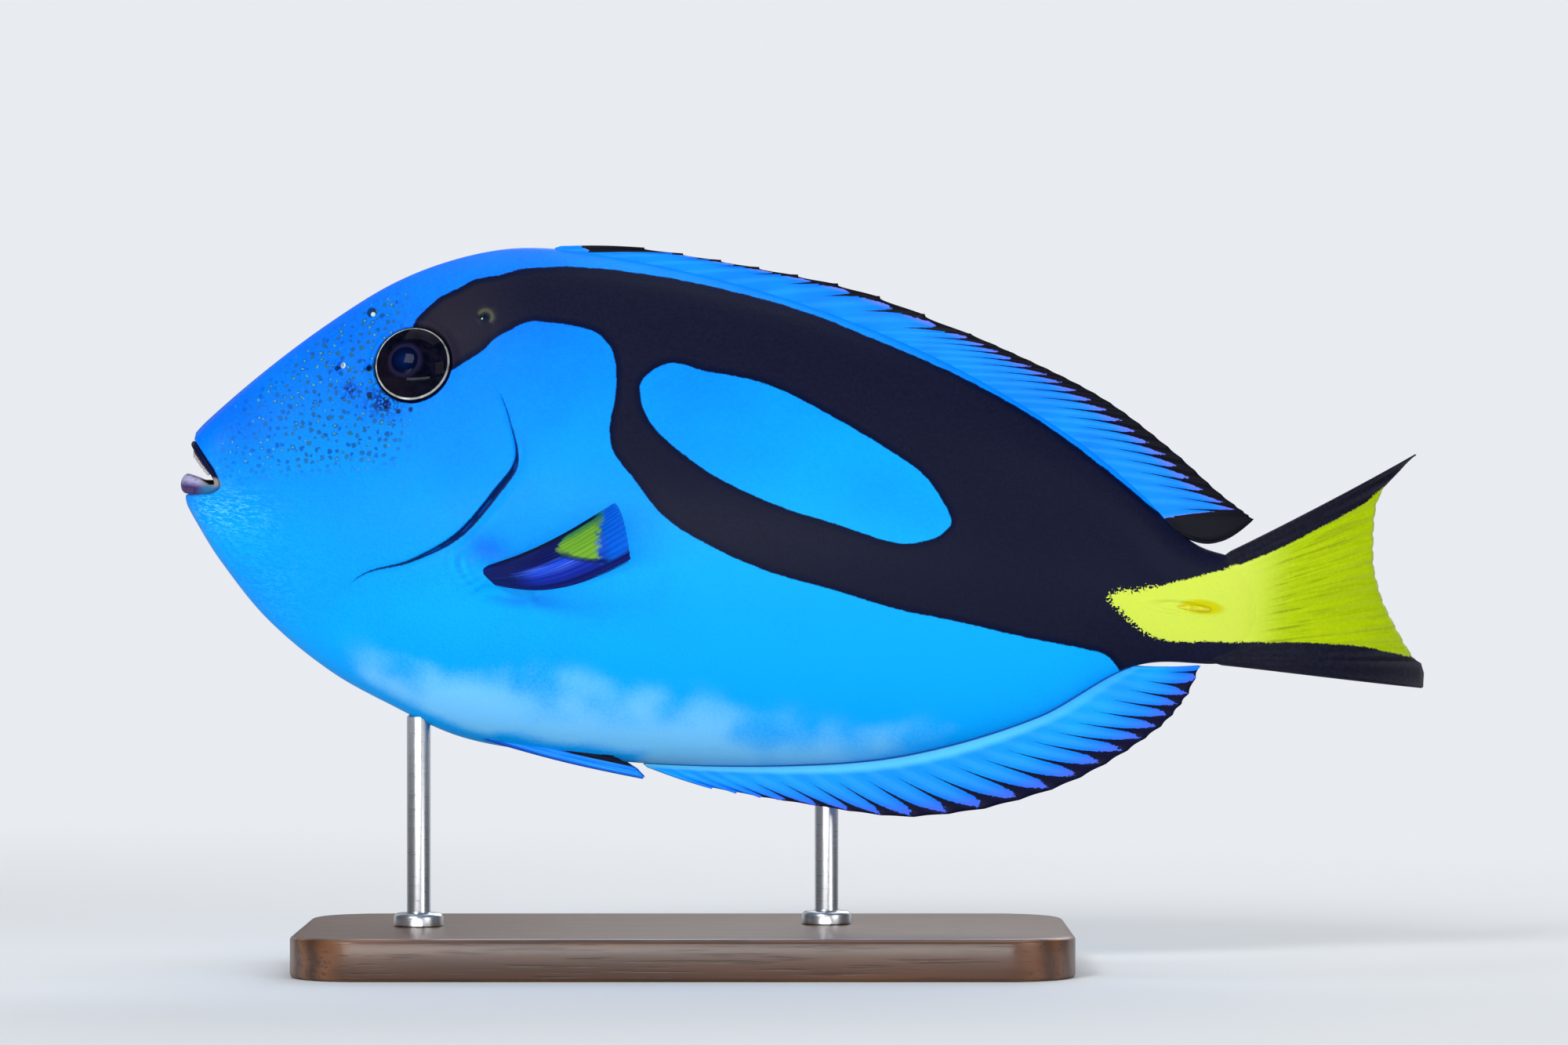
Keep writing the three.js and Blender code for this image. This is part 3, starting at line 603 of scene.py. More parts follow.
# The loops of the lips and of the mouth's cavity, and where the lips meet the face
def mouthLoops():
    count = skinGrid["around"]
    share = np.linspace(0, 1, count + 1)
    middle, tangent = lipLine(share)
    aside = np.clip(-middle[:, 1] / mouth["halfWidth"], 0, 1)
    out = np.stack([-np.sqrt(1 - aside**2), -aside, np.zeros(count + 1)], -1)
    away = unit(np.cross(tangent, out))
    out = unit(np.cross(away, tangent))
    tall, deep = (through(mouth[k])(share)[:, None] for k in ("tall", "deep"))
    rim = middle + away * (tall + 0.3)
    lips = []
    for angle in np.radians(np.linspace(mouth["lipFrom"], mouth["lipTo"], mouth["lipLoops"])):
        lips.append(middle + deep * math.cos(angle) * out + tall * math.sin(angle) * away)
    cavity = []
    for k in range(1, mouth["cavityLoops"] + 1):
        t = k / (mouth["cavityLoops"] + 1)
        inward = mix(lips[-1], np.array(mouth["cavityEnd"]), t**0.8)
        cavity.append(inward)
    loops = [mirrored(loop) for loop in cavity[::-1] + lips[::-1]]
    rimX = np.maximum(rim[:, 0], fish["snoutStart"] + 0.12)
    rimTurn = turnAt(rimX, rim[:, 2])
    rimTurn[0], rimTurn[-1] = -np.pi, 0
    return loops, rimX, rimTurn


def faceGrid(rimX, rimTurn):  # x and turn from the lips to the first even ring
    end = mouth["faceEnd"]
    last = evenTurns([end])[0][: skinGrid["around"] + 1]
    xs, turns = [], []
    for k in range(mouth["faceLoops"]):
        s = (k / mouth["faceLoops"]) ** 1.35
        x = mix(rimX, end, s)
        turn = mix(rimTurn, last, s)
        xs.append(np.concatenate([x, x[-2:0:-1]]))
        turns.append(np.concatenate([turn, -turn[-2:0:-1]]))
    return np.array(xs), np.array(turns)


def trunkStations():
    middle = skinGrid["headEnd"]
    front = np.arange(mouth["faceEnd"], middle, skinGrid["headStep"])
    tailStart = fish["length"] - fish["tailRound"]
    rear = np.linspace(middle, tailStart, int((tailStart - middle) / skinGrid["trunkStep"]))
    end = np.sin(np.linspace(0, np.pi / 2, skinGrid["tailLoops"] + 1)[1:-1]) * fish["tailRound"]
    return np.concatenate([front, rear, tailStart + end])


details = {
    "orbitRim": {"radius": 7.0, "width": 0.55, "height": 0.3},
    "socket": {"edge": 6.75, "floor": 3.4},
    "nostrils": [
        {"x": 25, "z": 20.7, "radius": 0.72, "rim": 0.34, "depth": 1.2},
        {"x": 30, "z": 20.9, "radius": 0.55, "rim": 0.26, "depth": 1.1},
    ],
    "pores": [
        {"x": 29.1, "z": 30.1, "radius": 0.42, "rim": 0.12, "depth": 0.3},
        {"x": 47.8, "z": 31.8, "radius": 0.6, "rim": 0.16, "depth": 0.35},
    ],
    "gill": {  # each row of pairs runs along the slit, from the throat at 0 to the nape at 1
        "reach": 11,
        "ahead": 0.3,
        "behind": 1.0,
        "lift": [(0, 0), (0.15, 0.1), (0.3, 0.5), (0.42, 0.7), (0.6, 0.65), (0.7, 0.3), (0.78, 0),
                 (1, 0)],
        "depth": [(0, 0), (0.16, 0.1), (0.3, 0.5), (0.42, 1.1), (0.6, 1.1), (0.66, 0.6), (0.74, 0.2),
                  (0.8, 0), (1, 0)],
        "line": [(0, -0.3), (0.17, -0.1), (0.2, 0.06), (0.3, 0.26), (0.4, 0.55), (0.5, 0.6),
                 (0.58, 0.45), (0.62, 0.2), (0.67, 0.1), (0.74, 0.04), (0.78, -0.2), (1, -0.3)],
    },
    "scalpelSlot": {"x": 170.3, "z": -2.3, "length": 11, "height": 2.1, "depth": 0.3, "rim": 0.1},
    "finBase": {"x": 53.7, "z": -11.3, "swell": 1.0, "reach": 2.7},
    "finFolds": {"x": 58, "z": -9, "radius": 5.6, "width": 1.1, "stretch": 1.6, "pitch": 1.1,
                 "height": 0.07},
    "chinFolds": {"height": 0.1, "pitch": 1.5},
}


def pit(distance, sizes):  # a hole with a raised rim
    rim = sizes["rim"] * bump(distance - sizes["radius"] * 1.15, sizes["radius"] * 0.45)
    return rim - sizes["depth"] * step(-distance, -sizes["radius"], -sizes["radius"] * 0.35)


# Folds of the skin in arcs below and ahead of the pectoral fin's root
def finFolds(x, z):
    fin = details["finFolds"]
    away = np.hypot((x - fin["x"]) / fin["stretch"], z - fin["z"])
    rings = np.sin(2 * np.pi * (away + 0.12 * np.sin(x * 0.9)) / fin["pitch"])
    below = step(fin["z"] - z + (fin["x"] - x) / 4, 0.5, 3) * step(fin["x"] + 8 - x, 0, 6)
    return rings * below * bump(away - fin["radius"], fin["width"])


# How far the skin stands out of the plain body, from the flank's x, z and the place in space
def skinRelief(x, z, place, turn):
    height = np.zeros(x.shape)
    across = np.abs(turn)
    onFlank = step(across, 0.15, 0.5) * step(np.pi - across, 0.1, 0.4)
    for side in (-1, 1):
        centre, normal = eyeSeat(side)
        offset = place - centre
        above = offset @ normal
        radial = np.linalg.norm(offset - above[..., None] * normal, axis=-1)
        near = (np.abs(above) < 9) & (np.sign(turn) == side)
        rim, socket = details["orbitRim"], details["socket"]
        shape = rim["height"] * bump(radial - rim["radius"], rim["width"])
        inner = step(socket["edge"] - radial, -0.1, 0.55)
        shape = shape * (1 - inner) - inner * (socket["floor"] + above)
        height += np.where(near, shape, 0)
    for hole in details["nostrils"] + details["pores"]:
        height += pit(np.hypot(x - hole["x"], z - hole["z"]), hole) * onFlank
    gill = details["gill"]
    distance, share, side = lineDistance(outlines["gill"], x, z, False)
    ahead = side < 0
    raised = through(gill["lift"])(share) * np.clip(1 - distance / gill["reach"], 0, 1)
    height += onFlank * raised * np.where(ahead, 1, step(-distance, -1.2, 0))
    width = np.where(ahead, gill["ahead"], gill["behind"])
    height -= onFlank * through(gill["depth"])(share) * bump(distance, width)
    slot = details["scalpelSlot"]
    oval = np.hypot((x - slot["x"]) / (slot["length"] / 2), (z - slot["z"]) / (slot["height"] / 2))
    height += slot["rim"] * bump(oval - 1.15, 0.18) - slot["depth"] * step(-oval, -1.0, -0.6)
    fin = details["finBase"]
    away = np.hypot(x - fin["x"], (z - fin["z"]) * 1.1)
    height += onFlank * fin["swell"] * bump(away, fin["reach"])
    height += onFlank * details["finFolds"]["height"] * finFolds(x, z)
    chin = details["chinFolds"]
    reach = bump(np.hypot((x - 9) / 1.6, z + 12), 6.5)
    wave = np.sin(2 * np.pi * (z * 0.8 + x * 0.55 + 0.8 * np.sin(x * 0.7)) / chin["pitch"])
    height += onFlank * chin["height"] * wave * reach
    return height


# What a point of the skin has in place of the number of its loop round the mouth
fleshMark = -1
endMark = -2


# The whole skin as one closed surface, from inside the mouth to the end of the tail's flesh. Its
# points keep their x and turn on the body through the cutting of faces
def skinShape():
    loops, rimX, rimTurn = mouthLoops()
    faceX, faceTurn = faceGrid(rimX, rimTurn)
    stations = trunkStations()
    around = faceX.shape[1]
    x = np.concatenate([faceX, np.repeat(stations[:, None], around, 1)])
    turn = np.concatenate([faceTurn, evenTurns(stations)])
    points = np.concatenate([np.array(loops), bodyPoint(x, turn)])
    inMouth = np.zeros((len(loops), around))
    x, turn = (np.concatenate([inMouth, values]) for values in (x, turn))
    rings = len(points)
    number = np.where(np.arange(rings) < len(loops), np.arange(rings), fleshMark)
    given = np.stack([x, np.cos(turn), np.sin(turn), np.repeat(number[:, None], around, 1)], -1)
    bm = bmesh.new()
    layers = [bm.verts.layers.float.new(key) for key in ("px", "pc", "ps", "loop")]
    verts = [bm.verts.new(p) for p in points.reshape(-1, 3)]
    for v, values in zip(verts, given.reshape(-1, 4)):
        for layer, value in zip(layers, values):
            v[layer] = value
    for face in ringFaces(rings, around):
        bm.faces.new([verts[i] for i in face])
    closeSkin(bm, layers, verts, around)
    refineSkin(bm)
    bm.verts.index_update()
    values = np.array([[v[layer] for layer in layers] for v in bm.verts])
    places = np.array([v.co[:] for v in bm.verts])
    faces = [[v.index for v in f.verts] for f in bm.faces]
    bm.free()
    x, turn, loop = values[:, 0], np.arctan2(values[:, 2], values[:, 1]), values[:, 3]
    onFlesh = np.abs(loop - fleshMark) < 0.5
    x, turn = x[onFlesh], turn[onFlesh]
    flesh = bodyPoint(x, turn)
    raised = skinRelief(x, flesh[:, 2], flesh, turn) * step(x, 0.9, 2.5) * step(-x, -183, -176)
    places[onFlesh] = flesh + bodyNormal(x, turn) * raised[:, None]
    return places, faces, loop


def closeSkin(bm, layers, verts, around):  # a point in the mouth's depth and one at the tail's end
    start = bm.verts.new(mouth["cavityEnd"])
    length = fish["length"]
    end = bm.verts.new((length, 0, float(backHeight(length) + bellyHeight(length)) / 2))
    end[layers[0]] = length
    end[layers[3]] = endMark
    last = verts[-around:]
    for j in range(around):
        k = (j + 1) % around
        bm.faces.new((start, verts[k], verts[j]))
        bm.faces.new((end, last[j], last[k]))


def refineSkin(bm):  # finer faces where the small features are
    spots = [(*eye["at"], 8.8, 1)]
    spots += [(h["x"], h["z"], 2.0, 3) for h in details["nostrils"]]
    spots += [(h["x"], h["z"], 1.8, 2) for h in details["pores"]]
    slot = details["scalpelSlot"]
    spots += [(slot["x"] + d, slot["z"], 2.6, 1) for d in (-4, -1.3, 1.3, 4)]
    for x, z, reach, cuts in spots:
        subdivideFaces(bm, lambda c: math.hypot(c.x - x, c.z - z) < reach and abs(c.y) > 1, cuts)
    gill = outlines["gill"][26:74]
    alongSlit = lambda c: 28 < c.x < 60 and -18 < c.z < 26 and np.min(
        np.hypot(gill[:, 0] - c.x, gill[:, 1] - c.z)) < 0.9
    subdivideFaces(bm, alongSlit, 1)


def subdivideFaces(bm, near, cuts):
    chosen = [f for f in bm.faces if near(f.calc_center_median())]
    edges = {e for f in chosen for e in f.edges}
    bmesh.ops.subdivide_edges(bm, edges=list(edges), cuts=cuts, use_grid_fill=True)


# Where the blue is deeper or lighter than its surroundings: painted shade round the pectoral fin, and
# painted light and shade set against how strongly the lamps light each place
shadeAndToneSpots = [
    # painted shade: round the pectoral fin's root, and a line under the fin
    {"x": 53.4, "z": -6.8, "long": 3.4, "tall": 2.6, "change": -0.62},
    {"x": 62, "z": -14.6, "long": 5, "tall": 1.1, "change": -0.4},
    # painted light and shade against the lamps: deeper where they light the head and flank more, lighter
    # where they light the chin and lower flank less
    {"x": 6, "z": 10, "long": 9, "tall": 6, "change": -0.2},
    {"x": 44, "z": 12, "long": 14, "tall": 12, "change": -0.1},
    {"x": 9, "z": -10, "long": 9, "tall": 6, "change": 0.3},
    {"x": 66, "z": 10, "long": 8, "tall": 12, "change": 0.08},
    {"x": 122, "z": 9, "long": 13, "tall": 6, "change": -0.24},
    {"x": 135, "z": -22, "long": 32, "tall": 10, "change": 0.1},
]
# Small marks of the face, [x, z, radius]: painted glints in the pores, and on a nostril's flap a pale flap
# with a painted glint; and dark ones, painted shade in the holes of the nostrils and pores, and dark marks
# below the eye
faceSpots = {
    "paintedGlintSpot": [(25.4, 20.8, 0.62), (29.2, 30, 0.5), (47.7, 31.4, 0.2)],
    "holeShadeAndMark": [(24.5, 20.2, 0.5), (28.9, 30.3, 0.95), (48.1, 31.7, 0.85), (30, 20.8, 0.6),
                 (30.6, 16.4, 0.6), (33.7, 14.7, 0.45), (35.9, 14.2, 0.45), (37.9, 14.8, 0.45)],
}
poreArc = {"x": 48.2, "z": 31.7, "radius": 1.2, "width": 0.34}


def toneMap(x, z):  # the blue: deep on the snout and nape, lighter towards the belly and the tail
    tone = np.clip(0.5 - 0.017 * (z - 4) + 0.006 * (x - 35), 0.08, 0.96)
    for spot in shadeAndToneSpots:
        away = np.hypot((x - spot["x"]) / spot["long"], (z - spot["z"]) / spot["tall"])
        tone += spot["change"] * bump(away, 1)
    # Under the dorsal fin the blue is set to one tone, painted against the different light on the upturned
    # skin and the upright fin
    underDorsal = step(z - backHeight(x), -9, -4) * step(x, 52, 74)
    # along the folds by the pectoral fin the blue deepens and lightens in rings: painted shade on the folds
    return mix(tone, 0.42, underDorsal) - finFolds(x, z) * 0.34


def dotsMap(x, z):  # where the face has its dots
    inFace = step(x, 3.5, 8) * step(-x, -41, -34) * step(backHeight(x) - z, 0.6, 4)
    inFace = inFace * step(z - 0.24 * x, -5.5, 0) * step(30 + 0.25 * x - z, 0, 4)
    return inFace * (1 - step(x, 32, 37) * step(z, 12, 17))


def hazeMap(x, z):  # along the belly, and thinner above the anal fin's root
    aboveEdge = z - bellyHeight(x)
    haze = step(-z - 0.09 * np.maximum(x - 72, 0), 20, 38) * step(x, 24, 42) * (1 - step(x, 112, 140))
    haze = haze * np.maximum(step(aboveEdge, 0.5, 4), step(x, 80, 88))
    overFin = 0.42 * bump(aboveEdge - 2.5, 4) * step(x, 84, 100) * (1 - step(x, 122, 146))
    return np.maximum(haze, overFin)


def chinMap(x, z):
    near = bump(np.hypot((x - 8) / 2, z + 5.8), 3.6)
    return (near + 0.2 * bump(np.hypot(x - 17, z + 18), 8)) * step(x, 1.5, 4)


def tangleMap(x, z):
    return bump(np.hypot((x - 33.2) / 1.2, z - 15.6), 2.5) + bump(np.hypot(x - 27.2, z - 16.9), 1.2)


def arcMap(x, z):
    away = np.hypot(x - poreArc["x"], z - poreArc["z"])
    above = step(z - poreArc["z"] + 0.5 * (x - poreArc["x"]), -0.5, 0.1)
    return bump(away - poreArc["radius"], poreArc["width"]) * above


def skinAttributes(places, loop):
    x, y, z = places.T
    marks = flankMarks(x, z)
    distance, share, side = lineDistance(outlines["gill"], x, z, False)
    cavity = mouth["cavityLoops"]
    inMouth = 1 - step(loop, cavity - 1.5, cavity + 3)
    spots = {kind: sum(bump(np.hypot(x - sx, z - sz), radius) for sx, sz, radius in few)
             for kind, few in faceSpots.items()}
    return {
        "flank": np.stack([x, z, y], -1),
        "black": marks["black"],
        "yellow": marks["yellow"],
        "gillSide": distance * side,
        "gillWidth": through(details["gill"]["line"])(share),
        "lip": np.where(loop >= cavity, 1.0, 0.0),
        "inMouth": np.where(loop >= -0.5, inMouth, 0),
        "tone": toneMap(x, z),
        "dots": dotsMap(x, z),
        "haze": hazeMap(x, z),
        "chin": chinMap(x, z),
        "tangle": tangleMap(x, z),
        "poreArc": arcMap(x, z),
        "sheath": step(-np.hypot((x - 173.6) / 4.4, (z + 1.9) / 1.5), -1, -0.6),
        **spots,
    }


blues = {
    "deep": paint(0, 106, 242),
    "light": paint(0, 164, 255),
    "haze": paint(112, 198, 255),
    "navy": paint(2, 10, 70),
    "vein": paint(112, 214, 250),
    "slitShine": paint(10, 84, 196),
}
darks = {
    "band": paint(11, 14, 37),
    "bandLight": paint(17, 21, 46),
    "rim": paint(0, 8, 42),
    "nearEye": paint(30, 27, 42),
}
yellows = {
    "pale": paint(200, 219, 80),
    "bright": paint(212, 228, 20),
    "strong": paint(168, 195, 0),
    # the olive streaks near the tail fin's root: painted shade of folds
    "foldShade": paint(120, 134, 10),
    "sheath": paint(196, 196, 0),
}


# The blue with its clouds, grain and tone from scale to scale, and pale veins on the chin
def blueSkin(at):
    tone = at["tone"]
    changes = ((noise(at["place"], 0.05, 3), 0.3, 0.7, 0.07), (at["grains"], 0.3, 0.7, 0.04),
               (at["scaleTone"], 0, 1, 0.04))
    for source, low, high, change in changes:
        tone = plus(tone, fade(source, low, high, -change, change))
    drawn = vectorMath("MULTIPLY", at["place"], (0.4, 2, 1))
    vein = times(fade(apart(noise(drawn, 0.8, 3, 0.65), 0.5), 0.04, 0.01), at["chin"])
    colour = tint(plus(tone, times(vein, 0.35)), blues["deep"], blues["light"])
    return tint(times(vein, 0.5), colour, blues["vein"])


def bellyHaze(at, colour):  # its edge lies in plumes and grains
    plumes = fade(noise(at["place"], 0.1, 1.5), 0.3, 0.7, -0.24, 0.24)
    milky = plus(plus(at["haze"], plumes), fade(at["grains"], 0.25, 0.75, -0.07, 0.07))
    milky = times(fade(milky, 0.05, 0.95), fade(at["haze"], 0, 0.3))
    return tint(milky, colour, blues["haze"])


faceDots = {
    "pitch": 0.76,  # dots to the millimetre
    "randomness": 0.75,
    "sizes": (0.2, 0.33),
    "shades": (paint(6, 70, 140), paint(36, 98, 104)),
    "glint": paint(96, 204, 200),  # of the few that shine
    "knot": paint(12, 22, 90),  # of the tangled lines below the eye
}


def dottedFace(at, colour):
    dots = faceDots
    wavy = noise(at["place"], 1.3, 2, output="Color")
    uneven = vectorMath("MULTIPLY_ADD", wavy, (0.9, 0.9, 0.9), at["place"])
    middle, chance = cells(uneven, dots["pitch"], flat=True, randomness=dots["randomness"])
    chance = channels(chance)
    size = fade(chance[0], 0, 1, *dots["sizes"])
    dark = times(fade(minus(size, middle), -0.1, 0.1), at["dots"])
    dark = times(dark, fade(at["ahead"], 6, 24, 0.45, 0.85))
    colour = tint(dark, colour, tint(chance[1], *dots["shades"]))
    glint = times(times(fade(middle, 0.2, 0.05), at["dots"]), fade(chance[2], 0.72, 0.8))
    colour = tint(times(glint, 0.5), colour, dots["glint"])
    knot = times(fade(apart(at["worms"], 0.5), 0.1, 0.04), at["tangle"])
    return tint(knot, colour, dots["knot"])


def gillSlit(at, colour):  # a dark line, with a faint shine in its middle
    off = plus(calc("ABSOLUTE", at["gillSide"]), fade(at["grains"], 0.3, 0.7, -0.04, 0.04))
    slit = fade(minus(at["gillWidth"], off), -0.14, 0.12)
    colour = tint(times(slit, 0.95), colour, blues["navy"])
    shine = times(fade(off, 0.2, 0.06), fade(at["gillWidth"], 0.3, 0.42))
    shine = times(shine, fade(noise(at["place"], 0.3, 1), 0.44, 0.54))
    return tint(times(shine, 0.6), colour, blues["slitShine"])


def blackBand(at, colour):  # with a bluer rim inside its edge
    inner = edgeMask(minus(at["black"], 0.9), at["place"], softness=0.5)
    night = tint(fade(at["grains"], 0.3, 0.75), darks["band"], darks["bandLight"])
    night = tint(fade(at["ahead"], 56, 40), night, darks["nearEye"])
    return tint(edgeMask(at["black"], at["place"]), colour, tint(inner, darks["rim"], night))


def yellowWedge(at, colour):  # of the tail, in loose grains at its front tip
    loose = fade(fade(at["ahead"], 172, 160), 0, 1, 0.9, 3.4)
    warm = tint(fade(at["ahead"], 179, 190), yellows["pale"], yellows["strong"])
    warm = tint(fade(at["grains"], 0.35, 0.8, 0, 0.4), warm, yellows["bright"])
    warm = tint(at["sheath"], warm, yellows["sheath"])
    return tint(edgeMask(at["yellow"], at["place"], 0.9, loose, 0.16), colour, warm)


# Nostrils and pores: painted shade in their holes, and painted glints
def faceMarks(at, colour):  # nostrils and pores
    colour = tint(fade(at["holeShadeAndMark"], 0.3, 0.6, 0, 0.85), colour, paint(4, 22, 44))
    colour = tint(times(at["poreArc"], 0.6), colour, paint(96, 98, 74))
    # the pale spots are painted glints
    return tint(fade(at["paintedGlintSpot"], 0.4, 0.7), colour, paint(196, 222, 214))


lipColours = {
    # the lower lip, dark below and pale on top, where a painted highlight lies
    "lower": (paint(62, 44, 96), paint(168, 164, 206)),
    "mottle": paint(88, 74, 120),
    "corner": (paint(44, 104, 150), paint(138, 130, 124)),
    "upper": paint(6, 14, 52),
    # inside the mouth: near black, painted shade in the cavity
    "inside": paint(10, 8, 18),
}


def lipsAndMouth(at, colour):
    # the lower lip lightens upwards into a painted highlight
    lip = tint(fade(at["up"], -2.7, -1.3), *lipColours["lower"])
    lip = tint(fade(at["worms"], 0.5, 0.6, 0, 0.45), lip, lipColours["mottle"])
    corner = tint(fade(at["up"], -2.4, -1.5), *lipColours["corner"])
    lip = tint(fade(at["ahead"], 2.8, 5.2), lip, corner)
    lip = tint(fade(at["up"], -0.9, -0.3), lip, lipColours["upper"])
    # the cavity inside the mouth is painted near black: painted shade
    return tint(at["inMouth"], tint(at["lip"], colour, lip), lipColours["inside"])


def skinMaterial():
    material, tree, shader = newMaterial("tangSkin", Roughness=0.5, Specular_IOR_Level=0.06,
                                         Coat_Weight=0.03, Coat_Roughness=0.25)
    place = reading(tree, "flank", "Vector")
    scales = useGroup(scaleGroup, Place=place, Size=0.42)
    grains = noise(place, 1.9, 3, 0.7)
    names = ("tone", "chin", "haze", "dots", "tangle", "gillSide", "gillWidth", "black", "yellow",
             "sheath", "holeShadeAndMark", "poreArc", "paintedGlintSpot", "lip", "inMouth")
    at = {name: reading(tree, name) for name in names}
    at.update(place=place, ahead=separate(place)[0], up=separate(place)[1], grains=grains,
              worms=noise(place, 0.9, 2, 0.6), scaleTone=scales["Tone"])
    colour = blueSkin(at)
    for layer in (bellyHaze, dottedFace, gillSlit, blackBand, yellowWedge, faceMarks, lipsAndMouth):
        colour = layer(at, colour)
    plug(shader.inputs["Base Color"], colour)
    relief(shader, plus(scales["Height"], times(grains, 0.6)), 0.00002)
    plug(shader.inputs["Roughness"], fade(grains, 0.2, 0.8, 0.42, 0.56))
    return material


def buildSkin():
    places, faces, loop = skinShape()
    mesh = meshFrom("tang_skin", toRow(places), faces, skinAttributes(places, loop))
    finished(newObject("tang_skin", mesh, skinMaterial()), "blue_skin", "head", "gill_cover_left",
             "gill_cover_right", "trunk", "tail_peduncle", "upper_lip", "lower_lip")
    print("skin faces", len(faces))


# Geometry Nodes building blocks
def newTree(name, sockets):
    tree = bpy.data.node_groups.new(name, "GeometryNodeTree")
    tree.interface.new_socket("Geometry", in_out="INPUT", socket_type="NodeSocketGeometry")
    for key, kind in sockets:
        tree.interface.new_socket(key, in_out="INPUT", socket_type="NodeSocket" + kind)
    tree.interface.new_socket("Geometry", in_out="OUTPUT", socket_type="NodeSocketGeometry")
    given = tree.nodes.new("NodeGroupInput").outputs
    return tree, given, tree.nodes.new("NodeGroupOutput").inputs


def geoNode(tree, kind, **inputs):
    made = tree.nodes.new(kind)
    for key, value in inputs.items():
        plug(made.inputs[key.replace("_", " ")], value)
    return made


def named(tree, name, kind="FLOAT"):
    made = tree.nodes.new("GeometryNodeInputNamedAttribute")
    made.data_type = kind
    made.inputs["Name"].default_value = name
    return made.outputs["Attribute"]


def closeTree(tree, geometry, material, out):
    real = geoNode(tree, "GeometryNodeRealizeInstances", Geometry=geometry)
    coloured = geoNode(tree, "GeometryNodeSetMaterial", Geometry=real.outputs[0], Material=material)
    plug(out["Geometry"], coloured.outputs[0])


# Runs a tree on a mesh and gives back the result as a plain mesh of its own
def grown(name, mesh, tree, values):
    source = newObject(name + "_source", mesh)
    modifier = source.modifiers.new("grow", "NODES")
    modifier.node_group = tree
    for item in tree.interface.items_tree:
        if item.item_type == "SOCKET" and item.in_out == "INPUT" and item.name in values:
            modifier[item.identifier] = values[item.name]
    ready = source.evaluated_get(bpy.context.evaluated_depsgraph_get())
    made = bpy.data.meshes.new_from_object(ready)
    source.modifiers.remove(modifier)
    bpy.data.objects.remove(source)
    made.name = name
    made.shade_smooth()
    return newObject(name, made)


# Round rods along the edges of a mesh, as thick as its rayRadius says at each point
def makeRayTree():
    tree, given, out = newTree("finRays",
                               [("Sides", "Int"), ("Thickness", "Float"), ("Finish", "Material")])
    line = geoNode(tree, "GeometryNodeMeshToCurve", Mesh=given["Geometry"])
    ring = geoNode(tree, "GeometryNodeCurvePrimitiveCircle", Resolution=given["Sides"], Radius=0.001)
    tube = geoNode(tree, "GeometryNodeCurveToMesh", Curve=line.outputs[0], Fill_Caps=True,
                   Profile_Curve=ring.outputs[0], Scale=times(named(tree, "rayRadius"), given["Thickness"]))
    smooth = geoNode(tree, "GeometryNodeSetShadeSmooth", Geometry=tube.outputs[0])
    closeTree(tree, smooth.outputs[0], given["Finish"], out)
    return tree


# Copies of one small piece on points, turned and sized by the points' own attributes
def makeSeatTree():
    tree, given, out = newTree("seated", [("Piece", "Object"), ("Size", "Float"), ("Finish", "Material")])
    piece = geoNode(tree, "GeometryNodeObjectInfo", Object=given["Piece"])
    turned = geoNode(tree, "FunctionNodeEulerToRotation", Euler=named(tree, "turned", "FLOAT_VECTOR"))
    points = geoNode(tree, "GeometryNodeMeshToPoints", Mesh=given["Geometry"])
    size = tree.nodes.new("ShaderNodeVectorMath")
    size.operation = "SCALE"
    plug(size.inputs[0], named(tree, "sized", "FLOAT_VECTOR"))
    plug(size.inputs["Scale"], given["Size"])
    seated = geoNode(tree, "GeometryNodeInstanceOnPoints", Points=points.outputs[0],
                     Instance=piece.outputs["Geometry"], Rotation=turned.outputs[0],
                     Scale=size.outputs[0])
    closeTree(tree, seated.outputs[0], given["Finish"], out)
    return tree


rayTree = makeRayTree()
seatTree = makeSeatTree()


# A closed plate about a middle surface: across is the way through it, half its half thickness
def plate(name, middle, across, half, attributes, material):
    columns, rows = half.shape
    points = np.concatenate([(middle - across * half[..., None]).reshape(-1, 3),
                             (middle + across * half[..., None]).reshape(-1, 3)])
    count = columns * rows
    grid = np.arange(count).reshape(columns, rows)
    a, b, c, d = grid[:-1, :-1], grid[1:, :-1], grid[1:, 1:], grid[:-1, 1:]
    front = np.stack([a, b, c, d], -1).reshape(-1, 4)
    back = np.stack([a, d, c, b], -1).reshape(-1, 4) + count
    border = np.concatenate([grid[:, 0], grid[-1, 1:], grid[-2::-1, -1], grid[0, -2:0:-1]])
    following = np.roll(border, -1)
    rim = np.stack([border, border + count, following + count, following], -1)
    faces = np.concatenate([front, back, rim])
    doubled = {key: np.tile(values.ravel(), 2) for key, values in attributes.items()}
    mesh = meshFrom(name, toRow(points), faces, {**doubled, "flank": points[:, [0, 2, 1]]})
    faceOut(mesh)
    return newObject(name, mesh, material)


def faceOut(mesh):
    bm = bmesh.new()
    bm.from_mesh(mesh)
    bmesh.ops.recalc_face_normals(bm, faces=bm.faces)
    bm.to_mesh(mesh)
    bm.free()
    mesh.shade_smooth()


# Fin rays from polylines of points with their radii
def rods(name, lines, material, sides=8):
    points, edges, values = [], [], {}
    for line in lines:
        start = len(points)
        points.extend(line["points"])
        edges.extend((start + i, start + i + 1) for i in range(len(line["points"]) - 1))
        for key, value in line.items():
            if key != "points":
                values.setdefault(key, []).extend(value)
    points = np.array(points)
    values["flank"] = points[:, [0, 2, 1]]
    mesh = meshFrom(name, toRow(points), [], values, edges)
    return grown(name, mesh, rayTree, {"Sides": sides, "Thickness": 1.0, "Finish": material})


